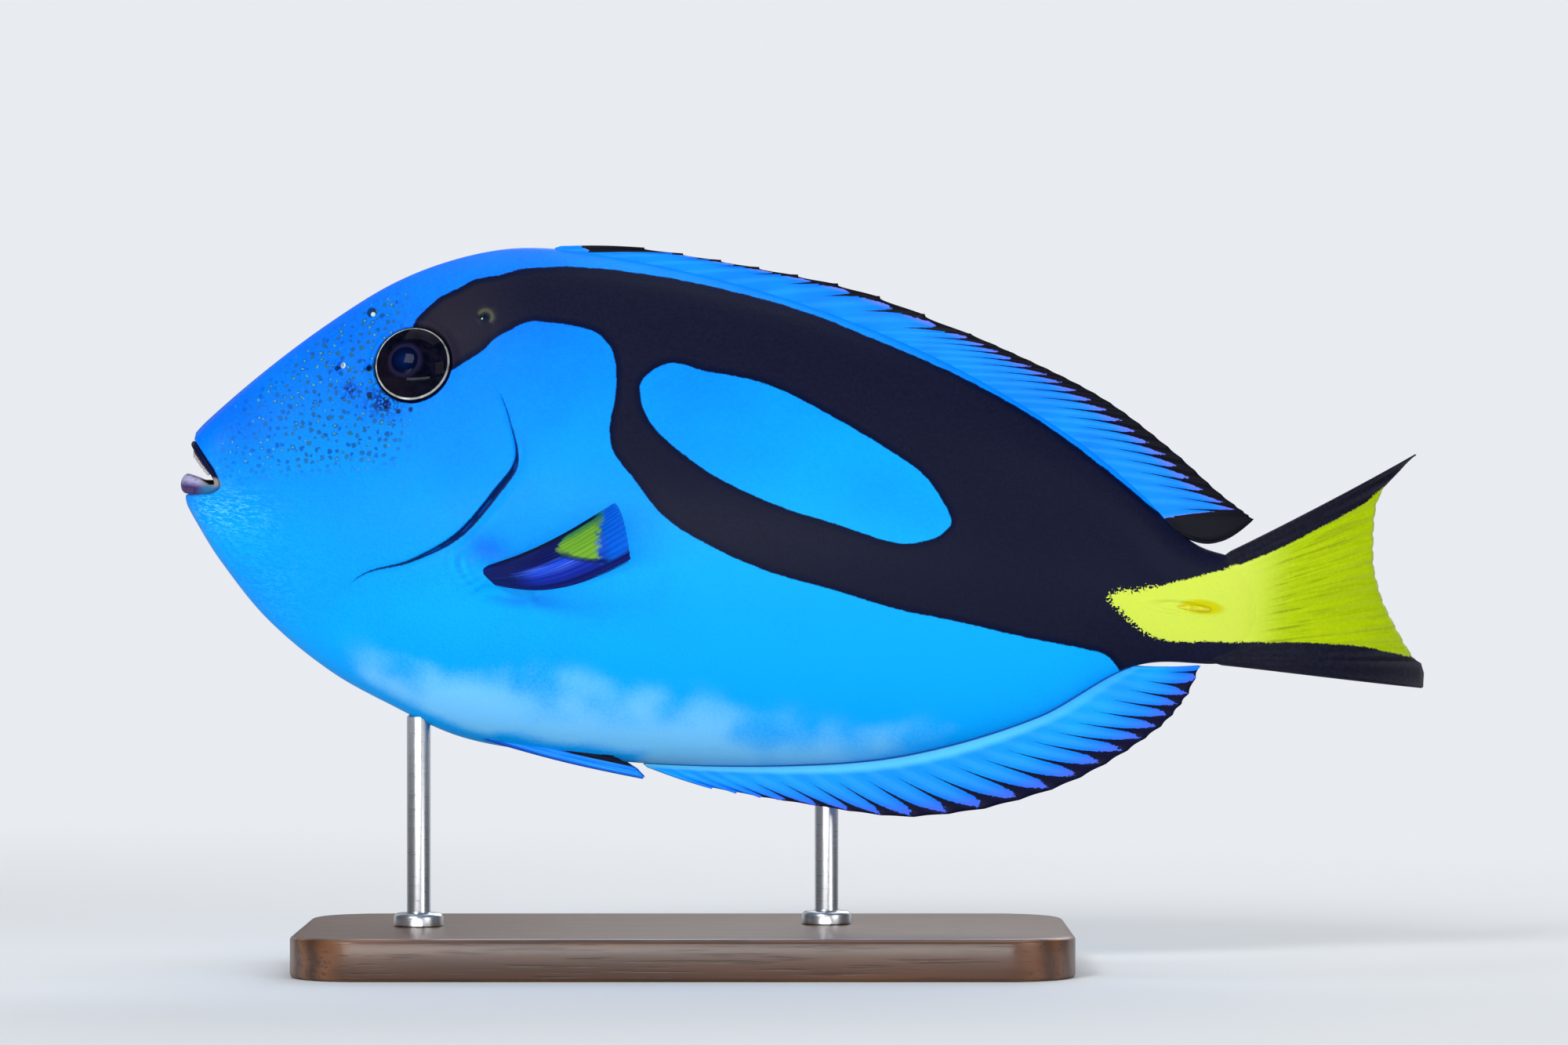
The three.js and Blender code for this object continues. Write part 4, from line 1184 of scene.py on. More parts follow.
# One ray as polylines: a stem, and branches that fork from it towards the margin. place gives
# points for ray numbers and shares of the way out.
def rayLines(number, place, radius, forks, endAt=0.985, steps=16, **extra):
    lines = []

    def add(numbers, alongs, thick):
        thin = mix(*radius, np.sqrt(alongs)) * step(alongs, -0.04, 0.07)
        lines.append({
            "points": place(numbers, alongs),
            "rayRadius": thin * thick,
            "ray": np.full(len(alongs), float(number)),
            "along": alongs,
            **{key: give(numbers, alongs) for key, give in extra.items()},
        })

    first = forks[0]["at"] if forks else endAt
    add(np.full(steps, float(number)), np.linspace(0, first, steps), np.ones(steps))
    ends = [(float(number), first)]
    for k, fork in enumerate(forks):
        until = forks[k + 1]["at"] if k + 1 < len(forks) else endAt
        nextEnds = []
        for centre, start in ends:
            for side in (-1, 1):
                share = np.linspace(0, 1, steps)
                alongs = mix(start, until, share)
                numbers = centre + side * fork["spread"] * share**0.8
                add(numbers, alongs, mix(fork["thick"] * 1.25, fork["thick"], share))
                nextEnds.append((centre + side * fork["spread"], until))
        ends = nextEnds
    return lines


dorsalFin = {
    "spines": 9,
    "rays": 20,
    "spineBases": (58, 113),
    "rayBases": (116.5, 168.5),
    "crowding": 1.0,  # over 1 sets the hind rays closer together
    "reach": [(58, 15), (96, 14), (126, 18.5), (160, 17), (168.5, 12.4)],
    "margin": [(58, 46.45), (74, 46.76), (94, 45.8), (110, 44.2), (125, 40.4), (144.5, 34.4),
               (155, 30.2), (166.3, 23.5), (174.6, 17.6), (180.9, 13.9)],
    "root": backHeight,
    "sunk": -2.2,
    "notch": (0.9, 0.25),
    "heel": 3,  # how far the last ray bows towards the tail
    # where the black needles begin and where they have closed up, by ray number
    "wedgeFrom": [(0, 0.2), (0.3, 0.12), (0.6, 0.02), (0.8, 0), (1, 0.7), (1.3, 0.62), (3, 0.46),
                  (5, 0.36), (8, 0.24), (10, 0.18), (16, 0.14), (24, 0.12), (26.6, 0.15), (27.2, -0.6),
                  (28, -0.7)],
    "wedgeTo": [(0, 0.34), (0.3, 0.24), (0.6, 0.14), (0.8, 0.08), (1, 0.94), (1.3, 0.97), (3, 0.95),
                (5, 0.93), (8, 0.9), (10, 0.87), (16, 0.84), (24, 0.83), (26.6, 0.8), (27.2, -0.2),
                (28, -0.3)],
    "wave": 0.5,
    "onRays": (8, 11),  # from here on the blue fingers lie on rays, and before it between spines
    "near": (paint(0, 124, 245), paint(0, 136, 252)),  # clouds of these two at the root
    "far": (paint(0, 116, 250), paint(112, 112, 248)),  # further out, and at the fingers' tips
    "between": paint(9, 9, 22),  # of the black between the fingers
}
analFin = {
    "spines": 3,
    "rays": 19,
    "spineBases": (83.5, 91),
    "rayBases": (94.5, 163),
    "crowding": 1.35,
    "reach": [(83.5, 12), (113, 15.5), (135, 21), (150, 19), (163, 12)],
    "margin": [(83.5, -41), (95.5, -42.4), (112.9, -43.2), (126.9, -43.4), (134.8, -42.1),
               (144.3, -39.3), (156.9, -33.2), (169, -23.4), (173.4, -17), (175, -11.8)],
    "root": bellyHeight,
    "sunk": 2.2,
    "notch": (0.6, 0.3),
    "heel": 0,
    "wedgeFrom": [(0, 0.9), (2, 0.55), (4, 0.28), (10, 0.2), (18, 0.24), (20, 0.4), (21, 0.7)],
    "wedgeTo": [(0, 1.2), (2, 1.05), (4, 1), (10, 0.97), (18, 0.97), (20, 1.02), (21, 1.2)],
    "wave": -0.4,
    "onRays": (-2, -1),
    "near": (paint(0, 156, 255), paint(0, 144, 255)),
    "far": (paint(0, 112, 238), paint(70, 90, 240)),
    "between": paint(6, 8, 42),
    # the dark stripe right at the root is painted shade in the crease between fin and body
    "stripe": (paint(84, 196, 250), paint(0, 76, 160)),  # along the root, and right at it
}
midFin = {
    "columns": 9,  # from ray to ray
    "rows": 26,
    "skin": (0.5, 0.13),  # half the thickness at the root and near the margin
    "ray": (0.55, 0.17),  # the rays' radius at the root and at the margin
    "edge": 0.05,  # half the thickness of the margin itself
    "forks": [{"at": 0.55, "spread": 0.13, "thick": 0.72}],
    "finger": paint(60, 172, 255),
}


# A fin in the middle plane: its points by ray number and share of the way from root to margin
def midFinPlace(fin):
    reach, margin = through(fin["reach"]), through(fin["margin"])
    spines, rays = fin["spines"], fin["rays"]
    count = spines + rays
    numbers = np.arange(count)
    share = 1 - (1 - np.linspace(0, 1, rays)) ** fin["crowding"]
    bases = np.concatenate([np.linspace(*fin["spineBases"], spines), mix(*fin["rayBases"], share)])

    def ends(n):
        rootX = np.interp(n, numbers, bases)
        tipX = rootX + reach(rootX)
        return rootX, fin["root"](rootX), tipX, margin(tipX)

    def place(n, v):
        rootX, rootZ, tipX, tipZ = ends(n)
        length = np.hypot(tipX - rootX, tipZ - rootZ)
        spiny = n < spines - 1
        between = np.sin(np.pi * (n % 1) ** np.where(spiny, 0.55, 1)) ** 1.2
        reached = v * (1 - np.where(spiny, *fin["notch"]) * between / length)
        bow = 0.0175 * length * np.sin(np.pi * np.clip(v, 0, 1)) * np.sign(fin["sunk"])
        heel = fin["heel"] * np.maximum(n - count + 2, 0) * np.sin(np.pi * v)
        x, z = mix(rootX, tipX, reached), mix(rootZ, tipZ, reached) - bow - heel
        y = fin["wave"] * np.sin(n * 0.42) * v**2 + 0.1 * np.sin(2 * np.pi * n) * v
        return np.stack([x, y, z], -1)

    return place, count


def finGrid(fin, count):  # ray numbers and shares of the way out, as a grid
    n = np.linspace(0, count - 1, (count - 1) * fin["columns"] + 1)
    return (g.copy() for g in np.meshgrid(n, np.linspace(0, 1, fin["rows"]), indexing="ij"))


def sideways(points):
    return np.broadcast_to(np.array([0.0, 1, 0]), points.shape)


def buildMidFin(name, fin, material):
    place, count = midFinPlace(fin)
    n, v = finGrid(midFin, count)
    middle = place(n, v)
    middle = np.concatenate([middle[:, :1] + np.array([0, 0, fin["sunk"]]), middle], 1)
    n, v = (np.concatenate([g[:, :1], g], 1) for g in (n, v))
    half = mix(*midFin["skin"], np.sqrt(v))
    half[:, -1] = midFin["edge"]
    half[0], half[-1] = midFin["edge"] + 0.01, midFin["edge"] + 0.01
    wedge = finWedge(fin)
    attributes = {"ray": n, "along": v, "wedge": wedge(n, v)}
    finished(plate("tang_" + name, middle, sideways(middle), half, attributes, material), "blue_fin", name)
    lines = []
    for k in range(count):
        spiny = k < fin["spines"]
        forks, end = ([], 1.0) if spiny else (midFin["forks"], 0.985)
        lines += rayLines(k, place, midFin["ray"], forks, end, wedge=wedge)
    finished(rods("tang_" + name + "_rays", lines, material), "blue_fin")


def finWedge(fin):
    low, high = through(fin["wedgeFrom"]), through(fin["wedgeTo"])
    return lambda n, v: (v - low(n)) / (high(n) - low(n))


def midFinMaterial(name, fin):
    material, tree, shader = newMaterial(name, Roughness=0.46, Specular_IOR_Level=0.08,
                                         Coat_Weight=0.03, Coat_Roughness=0.25)
    place = reading(tree, "flank", "Vector")
    number, wedge, along = (reading(tree, key) for key in ("ray", "wedge", "along"))
    # 0 in the middle of a blue finger and 1 between two
    atRay = times(apart(calc("FRACT", plus(number, fade(number, *fin["onRays"], 0.62, 1.0))), 0.5), 2.0)
    grain = fade(noise(place, 1.6, 3, 0.65), 0.25, 0.75, -0.05, 0.05)
    # black needles between the fingers, which widen all at once at the fingers' ends
    inFar = calc("MAXIMUM", plus(wedge, grain), 0.0)
    girth = plus(times(inFar, 0.3), times(calc("POWER", inFar, 8.0), 0.9))
    black = fade(minus(girth, atRay), 0.0, 0.08)
    colour = tint(fade(noise(place, 0.12, 3), 0.3, 0.7), *fin["near"])
    colour = tint(fade(along, 0.35, 0.9), colour, fin["far"][0])
    colour = tint(fade(atRay, 0.4, 0.95, 0, 0.2), colour, midFin["finger"])
    tip = times(fade(wedge, 0.62, 1, 0, 0.8), fade(atRay, 0.1, 0.6))
    colour = tint(tip, colour, fin["far"][1])
    if "stripe" in fin:
        pale = times(fade(along, 0.2, 0.09), fade(number, 19, 11, 0.3, 1))
        colour = tint(pale, colour, fin["stripe"][0])
        # painted shade in the crease where the fin meets the body
        colour = tint(fade(along, 0.03, 0.01), colour, fin["stripe"][1])
    plug(shader.inputs["Base Color"], tint(black, colour, fin["between"]))
    relief(shader, plus(noise(place, 2.4, 3, 0.6), times(atRay, 0.4)), 0.00005)
    return material


caudalFin = {
    "rays": 16,
    "centre": (175.5, -1.8),
    "rootRadii": (4.5, 7.5, 8.7),  # backwards, upwards and downwards
    "tips": [
        (0, 209.4, 28.8), (0.07, 204.3, 22.7), (0.2, 202.6, 17.2), (0.4, 202.9, 9.7),
        (0.55, 205.2, 4.6), (0.7, 207.9, -0.1), (0.82, 210.7, -4), (0.9, 213.4, -6.5),
        (0.95, 215.6, -7.7), (1, 216.3, -11.3),
    ],
    "skin": (1.15, 0.13),
    "ray": (1.0, 0.15),
    "columns": 13,
    "rows": 44,
    "edge": 0.05,
    "forks": [{"at": 0.3, "spread": 0.23, "thick": 0.62}, {"at": 0.62, "spread": 0.115, "thick": 0.45}],
    # a pale line along the margin: a painted highlight
    "edgeHighlight": paint(232, 238, 160),
    "dark": (paint(12, 13, 28), paint(26, 27, 46)),
}


def caudalPlace(n, v):
    fin = caudalFin
    u = n / (fin["rays"] - 1)
    tips = np.array(fin["tips"])
    tipX, tipZ = (through(tips[:, [0, k]])(u) for k in (1, 2))
    angle = np.pi * (0.5 - u)
    upright = np.where(angle > 0, *fin["rootRadii"][1:])
    rootX = fin["centre"][0] + fin["rootRadii"][0] * np.cos(angle)
    rootZ = fin["centre"][1] + upright * np.sin(angle)
    wavy = 0.12 * np.sin(2 * np.pi * n) * v + 0.35 * np.sin(n * 0.9) * v**2
    ragged = 1 - 0.004 * np.sin(np.pi * (n * 2 % 1)) * step(v, 0.9, 1)
    reached = v * ragged
    return np.stack([mix(rootX, tipX, reached), wavy, mix(rootZ, tipZ, reached)], -1)


def caudalMarks(n, v):
    x, _, z = np.moveaxis(caudalPlace(n, v), -1, 0)
    return markDistance("wedge", x, z)


def caudalMaterial():
    material, tree, shader = newMaterial("tailFinSkin", Roughness=0.48, Specular_IOR_Level=0.08,
                                         Coat_Weight=0.03, Coat_Roughness=0.3)
    place = reading(tree, "flank", "Vector")
    along, number, ahead = reading(tree, "along"), reading(tree, "ray"), separate(place)[0]
    grains = noise(place, 1.5, 3, 0.7)
    streaks = rayStreaks(number, along, 3.2)
    colour = tint(fade(ahead, 179, 190), yellows["pale"], yellows["strong"])
    nearRoot = times(fade(ahead, 184, 188), fade(ahead, 201, 190, 0.3, 0.7))
    # olive streaks along the rays near the root: painted shade of the fin's folds
    colour = tint(times(streaks["Streak"], nearRoot), colour, yellows["foldShade"])
    colour = tint(fade(grains, 0.4, 0.9, 0, 0.4), colour, yellows["bright"])
    # a painted highlight along the margin
    colour = tint(fade(along, 0.975, 0.995, 0, 0.2), colour, caudalFin["edgeHighlight"])
    yellow = edgeMask(reading(tree, "yellow"), place, 0.5, 0.5, 0.16)
    dark = tint(fade(grains, 0.3, 0.8), *caudalFin["dark"])
    plug(shader.inputs["Base Color"], tint(yellow, dark, colour))
    relief(shader, plus(streaks["Height"], grains), 0.00007)
    return material


def buildCaudalFin():
    fin = caudalFin
    material = caudalMaterial()
    count = fin["rays"]
    n, v = finGrid(fin, count)
    middle = caudalPlace(n, v)
    half = mix(*fin["skin"], step(np.sqrt(v), 0, 0.95))
    half[:, -1] = fin["edge"]
    half[0], half[-1] = 0.3 * half[0], 0.3 * half[-1]
    attributes = {"ray": n, "along": v, "yellow": caudalMarks(n, v)}
    finished(plate("tang_caudal_fin", middle, sideways(middle), half, attributes, material),
             "yellow_fin", "caudal_fin")
    lines = []
    for k in range(count):
        forks = [] if k in (0, count - 1) else fin["forks"]
        lines += rayLines(k, caudalPlace, fin["ray"], forks, 0.99, 14, yellow=caudalMarks)
    finished(rods("tang_caudal_fin_rays", lines, material), "yellow_fin")


def flankAt(x, z):
    return np.abs(bodyPoint(x, turnAt(x, z))[..., 1])


pectoralFin = {
    "rays": 14,
    "root": ((52.4, -10.5), (53.8, -12.1)),
    "sunk": 0.6,
    "upper": {"direction": (21.9, -22.2, 14), "length": 34.2, "sag": 1.2},
    "lower": {"direction": (23.9, -10.9, 6.7), "length": 27.1, "sag": 3},
    "roundness": 0.05,
    "rootRound": 1.3,
    "camber": 1.6,
    "skin": (0.5, 0.12),
    "ray": (0.3, 0.09),
    "columns": 9,
    "rows": 36,
    "edge": 0.04,
    "forks": [{"at": 0.5, "spread": 0.2, "thick": 0.6}, {"at": 0.78, "spread": 0.1, "thick": 0.42}],
    "rayEnd": 0.985,
    "raySteps": 12,
    "body": (paint(4, 14, 78), paint(10, 34, 134)),  # between the streaks and on them
    "sky": (paint(10, 70, 224), paint(110, 142, 246)),
    "lowSky": paint(18, 44, 168),
    "lowEdge": paint(8, 22, 104),
    "margin": paint(0, 104, 242),
    "green": (paint(126, 184, 52), paint(92, 164, 44)),
    "deepGreen": paint(30, 130, 84),
    "outline": paint(2, 8, 50),
}


def pectoralFrame():
    upper, lower = (unit(np.array(pectoralFin[k]["direction"], float)) * pectoralFin[k]["length"]
                    for k in ("upper", "lower"))
    return upper, lower, unit(np.cross(upper, lower))


def pectoralPlace(side):
    fin = pectoralFin
    upper, lower, across = pectoralFrame()

    def place(n, v):
        n, v = np.broadcast_arrays(np.asarray(n, float), np.asarray(v, float))
        u = n / (fin["rays"] - 1)
        x, z = (mix(fin["root"][0][k], fin["root"][1][k], u) for k in (0, 1))
        arch = np.sin(np.pi * u)
        start = np.stack([x - fin["rootRound"] * arch, fin["sunk"] - flankAt(x, z), z], -1)
        ray = mix(upper, lower, u[..., None]) * (1 + fin["roundness"] * arch)[..., None]
        ragged = 1 - 0.003 * np.sin(np.pi * (n % 1)) ** 2 * step(v, 0.85, 1)
        point = start + ray * (v * ragged)[..., None]
        pleat = 0.05 * np.sin(2 * np.pi * n) * v
        point = point + across * (fin["camber"] * arch * v * v + pleat)[..., None]
        point[..., 2] -= mix(fin["upper"]["sag"], fin["lower"]["sag"], u) * np.sin(np.pi * v)
        point[..., 1] *= -side
        return point

    return place, across * np.array([1, -side, 1])


def pectoralMaterial():
    fin = pectoralFin
    material, tree, shader = newMaterial("pectoralFinSkin", Roughness=0.42, Specular_IOR_Level=0.12,
                                         Coat_Weight=0.05, Coat_Roughness=0.25)
    place = reading(tree, "flank", "Vector")
    along, number = reading(tree, "along"), reading(tree, "ray")
    u = calc("DIVIDE", number, fin["rays"] - 1.0)
    grains = noise(place, 0.9, 3, 0.7)
    wander = fade(grains, 0.2, 0.8, -0.025, 0.025)
    streaks = rayStreaks(number, along, 4.5)
    reach = plus(along, wander)
    across = plus(u, times(wander, 1.5))
    colour = tint(streaks["Streak"], *fin["body"])
    sky = tint(fade(u, 0.64, 0.78), tint(streaks["Streak"], *fin["sky"]), fin["lowSky"])
    colour = tint(times(fade(u, 0.46, 0.58), fade(reach, 0.22, 0.45)), colour, sky)
    colour = tint(fade(u, 0.84, 0.92), colour, fin["lowEdge"])
    outer = times(fade(reach, 0.8, 0.9), fade(u, 0.93, 0.86))
    colour = tint(outer, colour, fin["margin"])
    # the green patch is a leaf with its middle at a third of the fin's height
    middle = minus(across, 0.3)
    near = plus(times(times(middle, middle), 0.8), 0.59)
    far = minus(0.93, times(across, 0.15))
    green = times(fade(minus(reach, near), -0.02, 0.03), fade(minus(far, reach), -0.02, 0.04))
    leaf = tint(streaks["Streak"], *fin["green"])
    leaf = tint(fade(across, 0.3, 0.05), leaf, fin["deepGreen"])
    colour = tint(green, colour, leaf)
    under = times(fade(apart(reach, near), 0.035, 0.01), fade(across, 0.4, 0.5))
    under = times(under, fade(reach, 0.92, 0.84, 0, 0.7))
    colour = tint(under, colour, fin["outline"])
    firstRay = times(fade(u, 0.09, 0.03), fade(reach, 0.93, 0.85))
    colour = tint(firstRay, colour, fin["outline"])
    plug(shader.inputs["Base Color"], colour)
    plug(shader.inputs["Alpha"], fade(outer, 0, 1, 1.0, 0.6))
    relief(shader, plus(streaks["Height"], grains), 0.00004)
    return material


def buildPair(kind, slot, fin, placeOf, material):  # a fin on each side
    count = fin["rays"]
    for word, side in sides.items():
        place, across = placeOf(side)
        n, v = finGrid(fin, count)
        half = mix(*fin["skin"], np.sqrt(v))
        half[:, -1] = fin["edge"]
        half[0], half[-1] = 0.5 * half[0], 0.5 * half[-1]
        middle = place(n, v)
        across = np.broadcast_to(across, middle.shape)
        name = "tang_" + kind + "_fin_" + word
        finished(plate(name, middle, across, half, {"ray": n, "along": v}, material), slot,
                 kind + "_fin_" + word)
        lines = []
        for k in range(count):
            forks = fin["forks"] if k else []
            lines += rayLines(k, place, fin["ray"], forks, fin["rayEnd"], fin["raySteps"])
        finished(rods(name + "_rays", lines, material), slot)


pelvicFin = {
    "rays": 4,
    "root": ((55, -38.2), (62.5, -37.3)),
    "rootSide": 2.1,
    "tips": [(84, -42), (82.6, -40.8), (80.8, -39.9), (78.5, -39)],
    "tipSide": 2.6,
    "sag": 0.5,
    "skin": (0.5, 0.12),
    "ray": (0.6, 0.2),
    "columns": 10,
    "rows": 30,
    "edge": 0.05,
    "forks": [],
    "rayEnd": 0.99,
    "raySteps": 16,
    "body": (paint(10, 128, 250), paint(60, 168, 255)),
    "lead": paint(6, 60, 170),
    "hind": paint(8, 12, 38),
}


def pelvicPlace(side):
    fin = pelvicFin
    tips = np.array(fin["tips"])

    def place(n, v):
        n, v = np.broadcast_arrays(np.asarray(n, float), np.asarray(v, float))
        u = n / (fin["rays"] - 1)
        tipX, tipZ = (np.interp(n, np.arange(fin["rays"]), tips[:, k]) for k in (0, 1))
        x = mix(mix(fin["root"][0][0], fin["root"][1][0], u), tipX, v)
        sag = fin["sag"] * np.sin(np.pi * v) * (1 - u)
        z = mix(mix(fin["root"][0][1], fin["root"][1][1], u), tipZ, v) - sag
        y = side * (mix(fin["rootSide"], fin["tipSide"], v) + 0.1 * np.sin(2 * np.pi * n) * v)
        return np.stack([x, y, z], -1)

    return place, np.array([0.0, 1, 0])


def pelvicMaterial():
    material, tree, shader = newMaterial("pelvicFinSkin", Roughness=0.46, Specular_IOR_Level=0.08,
                                         Coat_Weight=0.03, Coat_Roughness=0.3)
    place = reading(tree, "flank", "Vector")
    along, number = reading(tree, "along"), reading(tree, "ray")
    grains = noise(place, 1.2, 3, 0.7)
    reach = plus(along, fade(grains, 0.2, 0.8, -0.03, 0.03))
    streaks = rayStreaks(number, along, 6.0)
    colour = tint(streaks["Streak"], *pelvicFin["body"])
    colour = tint(fade(number, 0.16, 0.06, 0, 0.8), colour, pelvicFin["lead"])
    hind = times(fade(number, 1.3, 1.7), fade(reach, 0.4, 0.55))
    plug(shader.inputs["Base Color"], tint(hind, colour, pelvicFin["hind"]))
    relief(shader, plus(streaks["Height"], grains), 0.00006)
    return material


# The eye: a ball flattened towards the head, with the lens standing up a little in its middle
def eyeHeight(radial):
    return eye["bulge"] - eye["depth"] + eye["depth"] * np.sqrt(1 - (radial / eye["radius"]) ** 2)


def eyeRelief(radial):  # the lens and the ring on that ball
    lens = 0.1 * step(eye["pupil"] - radial, -0.15, 0.3)
    return lens + 0.08 * bump(radial - eye["ring"], eye["ringWidth"] * 0.7)


def eyeMaterial():
    material, tree, shader = newMaterial("eyeBall", Roughness=0.5, Specular_IOR_Level=0,
                                         Coat_Weight=0.09, Coat_Roughness=0.04, Coat_IOR=1.4)
    place = reading(tree, "flank", "Vector")
    radial, turned = reading(tree, "radial"), reading(tree, "lowerFront")
    mottle = noise(place, 0.55, 4, 0.65)
    colour = tint(fade(mottle, 0.35, 0.7), *eye["ball"])
    colour = tint(fade(noise(place, 2.2, 3, 0.6), 0.6, 0.75, 0, 0.3), colour, eye["flecks"])
    colour = tint(fade(turned, 0.1, 0.9, 0, 0.35), colour, eye["glow"])
    halo = times(fade(radial, 2.2, 2.45), fade(radial, 3.3, 2.6))
    colour = tint(times(halo, 0.5), colour, eye["halo"])
    pupil = fade(radial, eye["pupil"] + 0.1, eye["pupil"] - 0.1)
    # the pupil's dark blue lightens to its middle: a painted glint
    colour = tint(pupil, colour, tint(fade(radial, 0, eye["pupil"]), *eye["lens"]))
    ring = fade(apart(radial, eye["ring"]), eye["ringWidth"] / 2 + 0.07, eye["ringWidth"] / 2 - 0.04)
    ring = times(ring, fade(turned, -0.75, 0.3, 0.45, 1))
    colour = tint(ring, colour, tint(fade(mottle, 0.35, 0.65), *eye["gold"]))
    outside = fade(radial, eye["ring"] + 0.16, eye["ring"] + 0.26)
    plug(shader.inputs["Base Color"], tint(outside, colour, eye["rim"]))
    return material


def buildEyes():
    material = eyeMaterial()
    count = eye["around"]
    angles = np.array(ringAngles(count))
    edge = eye["radius"] * 0.985
    radii = edge * (np.arange(1, eye["rings"] + 1) / eye["rings"]) ** 0.9
    for word, side in sides.items():
        centre, normal = eyeSeat(side)
        upright = unit(np.array([0, 0, 1]) - normal * normal[2])
        level = np.cross(upright, normal)
        if level[0] < 0:
            level = -level
        points, radial, turned = [], [], []
        for r in [0, *radii]:
            angle = angles if r else angles[:1]
            inner = 1 - step(r, eye["pupil"] + 0.4, eye["ring"] - 0.3)
            across = eye["pupilAt"][0] * inner + r * np.cos(angle)
            high = eye["pupilAt"][1] * inner + r * np.sin(angle)
            rise = eyeHeight(np.hypot(across, high)) + eyeRelief(r)
            moves = across[:, None] * level + high[:, None] * upright + rise[:, None] * normal
            points.extend(centre + moves)
            radial.extend([r] * len(angle))
            turned.extend(-np.cos(angle - eye["brightAt"]))
        points.append(centre - normal * 2.9)
        radial.append(edge)
        turned.append(0)
        last = len(points) - 1
        faces = [[1 + i for i in face] for face in ringFaces(eye["rings"], count)]
        faces += fan(0, range(1, 1 + count)) + fan(last, range(last - count, last))
        points = np.array(points)
        mesh = meshFrom("tang_eye_" + word, toRow(points), faces,
                        {"radial": radial, "lowerFront": turned, "flank": points[:, [0, 2, 1]]})
        faceOut(mesh)
        finished(newObject("tang_eye_" + word, mesh, material), "eye", "eye_" + word)


# Small close-set teeth along each jaw, the front ones longest. length and inset go from the front
# of the row to its end
teeth = {
    "width": 0.52,
    "thickness": 0.42,
    # one tooth as rings of height, width and thickness, each as a share of the whole
    "profile": [(0, 0.9, 0.9), (0.5, 1, 1), (0.8, 0.96, 0.8), (0.93, 0.8, 0.55), (1, 0.45, 0.3)],
    "around": 8,
    "corners": 1.08,  # so much wider than the flats between them
    "crown": (0.42, 0.62),  # from here on it is enamel
    "enamel": (paint(154, 147, 156), paint(204, 198, 200)),
    # the dark foot of each tooth: gum and painted shade between the lips
    "gumAndShade": paint(30, 20, 34),
    "upper": {"count": 17, "from": 1.0, "to": 0.56, "length": (2.1, 0.95), "inset": (0.15, 0.1), "up": -1},
    "lower": {"count": 12, "from": 0.0, "to": 0.36, "length": (1.0, 0.6), "inset": (0.5, 0.45), "up": 1},
}


def toothMesh():
    count = teeth["around"]
    angles = [a + math.pi / count for a in ringAngles(count)]
    wide, thick = (teeth[k] / 2 * teeth["corners"] for k in ("width", "thickness"))
    points = np.array([(w * wide * math.cos(a), t * thick * math.sin(a), h)
                       for h, w, t in teeth["profile"] for a in angles])
    return meshFrom("tooth", points / 1000, cappedRings(len(teeth["profile"]), count),
                    {"height": points[:, 2]})


# The root, turn and length of each tooth, along the left side and mirrored
def toothSeats():
    points, turns, lengths = [], [], []
    c, s = math.cos(fish["headUp"]), math.sin(fish["headUp"])
    lean = lambda w: Vector((w[0] * c + w[2] * s, w[1], -w[0] * s + w[2] * c))
    for row in (teeth["upper"], teeth["lower"]):
        share = np.linspace(row["from"], row["to"], row["count"] + 1)[:-1]
        share = share + (share[1] - share[0]) / 2
        middle, tangent = lipLine(share)
        for k in range(row["count"]):
            along = k / (row["count"] - 1)
            aside = min(max(-middle[k][1] / mouth["halfWidth"], 0), 1)
            out = np.array([-math.sqrt(1 - aside**2), -aside, 0])
            up = unit(np.cross(tangent[k], out))
            up = up if up[2] * row["up"] > 0 else -up
            root = middle[k] - out * mix(*row["inset"], along) + up * 0.1
            length = mix(*row["length"], along**0.7) * (1 + 0.05 * math.sin(k * 2.3))
            for side in sides.values():
                flip = np.array([1, -side, 1])
                zAxis = lean(up * flip).normalized()
                xAxis = (-lean(out * flip)).cross(zAxis).normalized()
                points.append(root * flip)
                turns.append(tuple(Matrix((xAxis, zAxis.cross(xAxis), zAxis)).transposed().to_euler()))
                lengths.append((1.0, 1.0, length))
    return meshFrom("teeth", toRow(np.array(points)), [], {"turned": turns, "sized": lengths})


def buildTeeth():
    material, tree, shader = newMaterial("toothEnamel", Roughness=0.3, Specular_IOR_Level=0.35,
                                         Coat_Weight=0.2, Coat_Roughness=0.1)
    enamel = tint(noise(objectPlace(tree), 2200, 2), *teeth["enamel"])
    crown = fade(reading(tree, "height"), *teeth["crown"])
    # dark at the foot: gum and painted shade
    plug(shader.inputs["Base Color"], tint(crown, teeth["gumAndShade"], enamel))
    piece = newObject("tooth", toothMesh(), material)
    made = grown("tang_teeth", toothSeats(), seatTree, {"Piece": piece, "Size": 1.0, "Finish": material})
    bpy.data.objects.remove(piece)
    finished(made, "lip")


scalpel = {
    "x": 170.3,
    "z": -2.3,
    "length": 9.8,
    "height": 1.35,
    "thickness": 1.5,
    "proud": 0.12,
    "slope": 0.25,
    "rings": 21,
    "around": 14,
    "horn": (paint(190, 184, 0), paint(212, 208, 24)),
}


def scalpelMaterial():
    material, tree, shader = newMaterial("scalpelHorn", Roughness=0.3, Specular_IOR_Level=0.5,
                                         Coat_Weight=0.3, Coat_Roughness=0.12)
    grain = noise(reading(tree, "flank", "Vector"), 1.2, 3, 0.6)
    plug(shader.inputs["Base Color"], tint(fade(grain, 0.3, 0.7), *scalpel["horn"]))
    return material


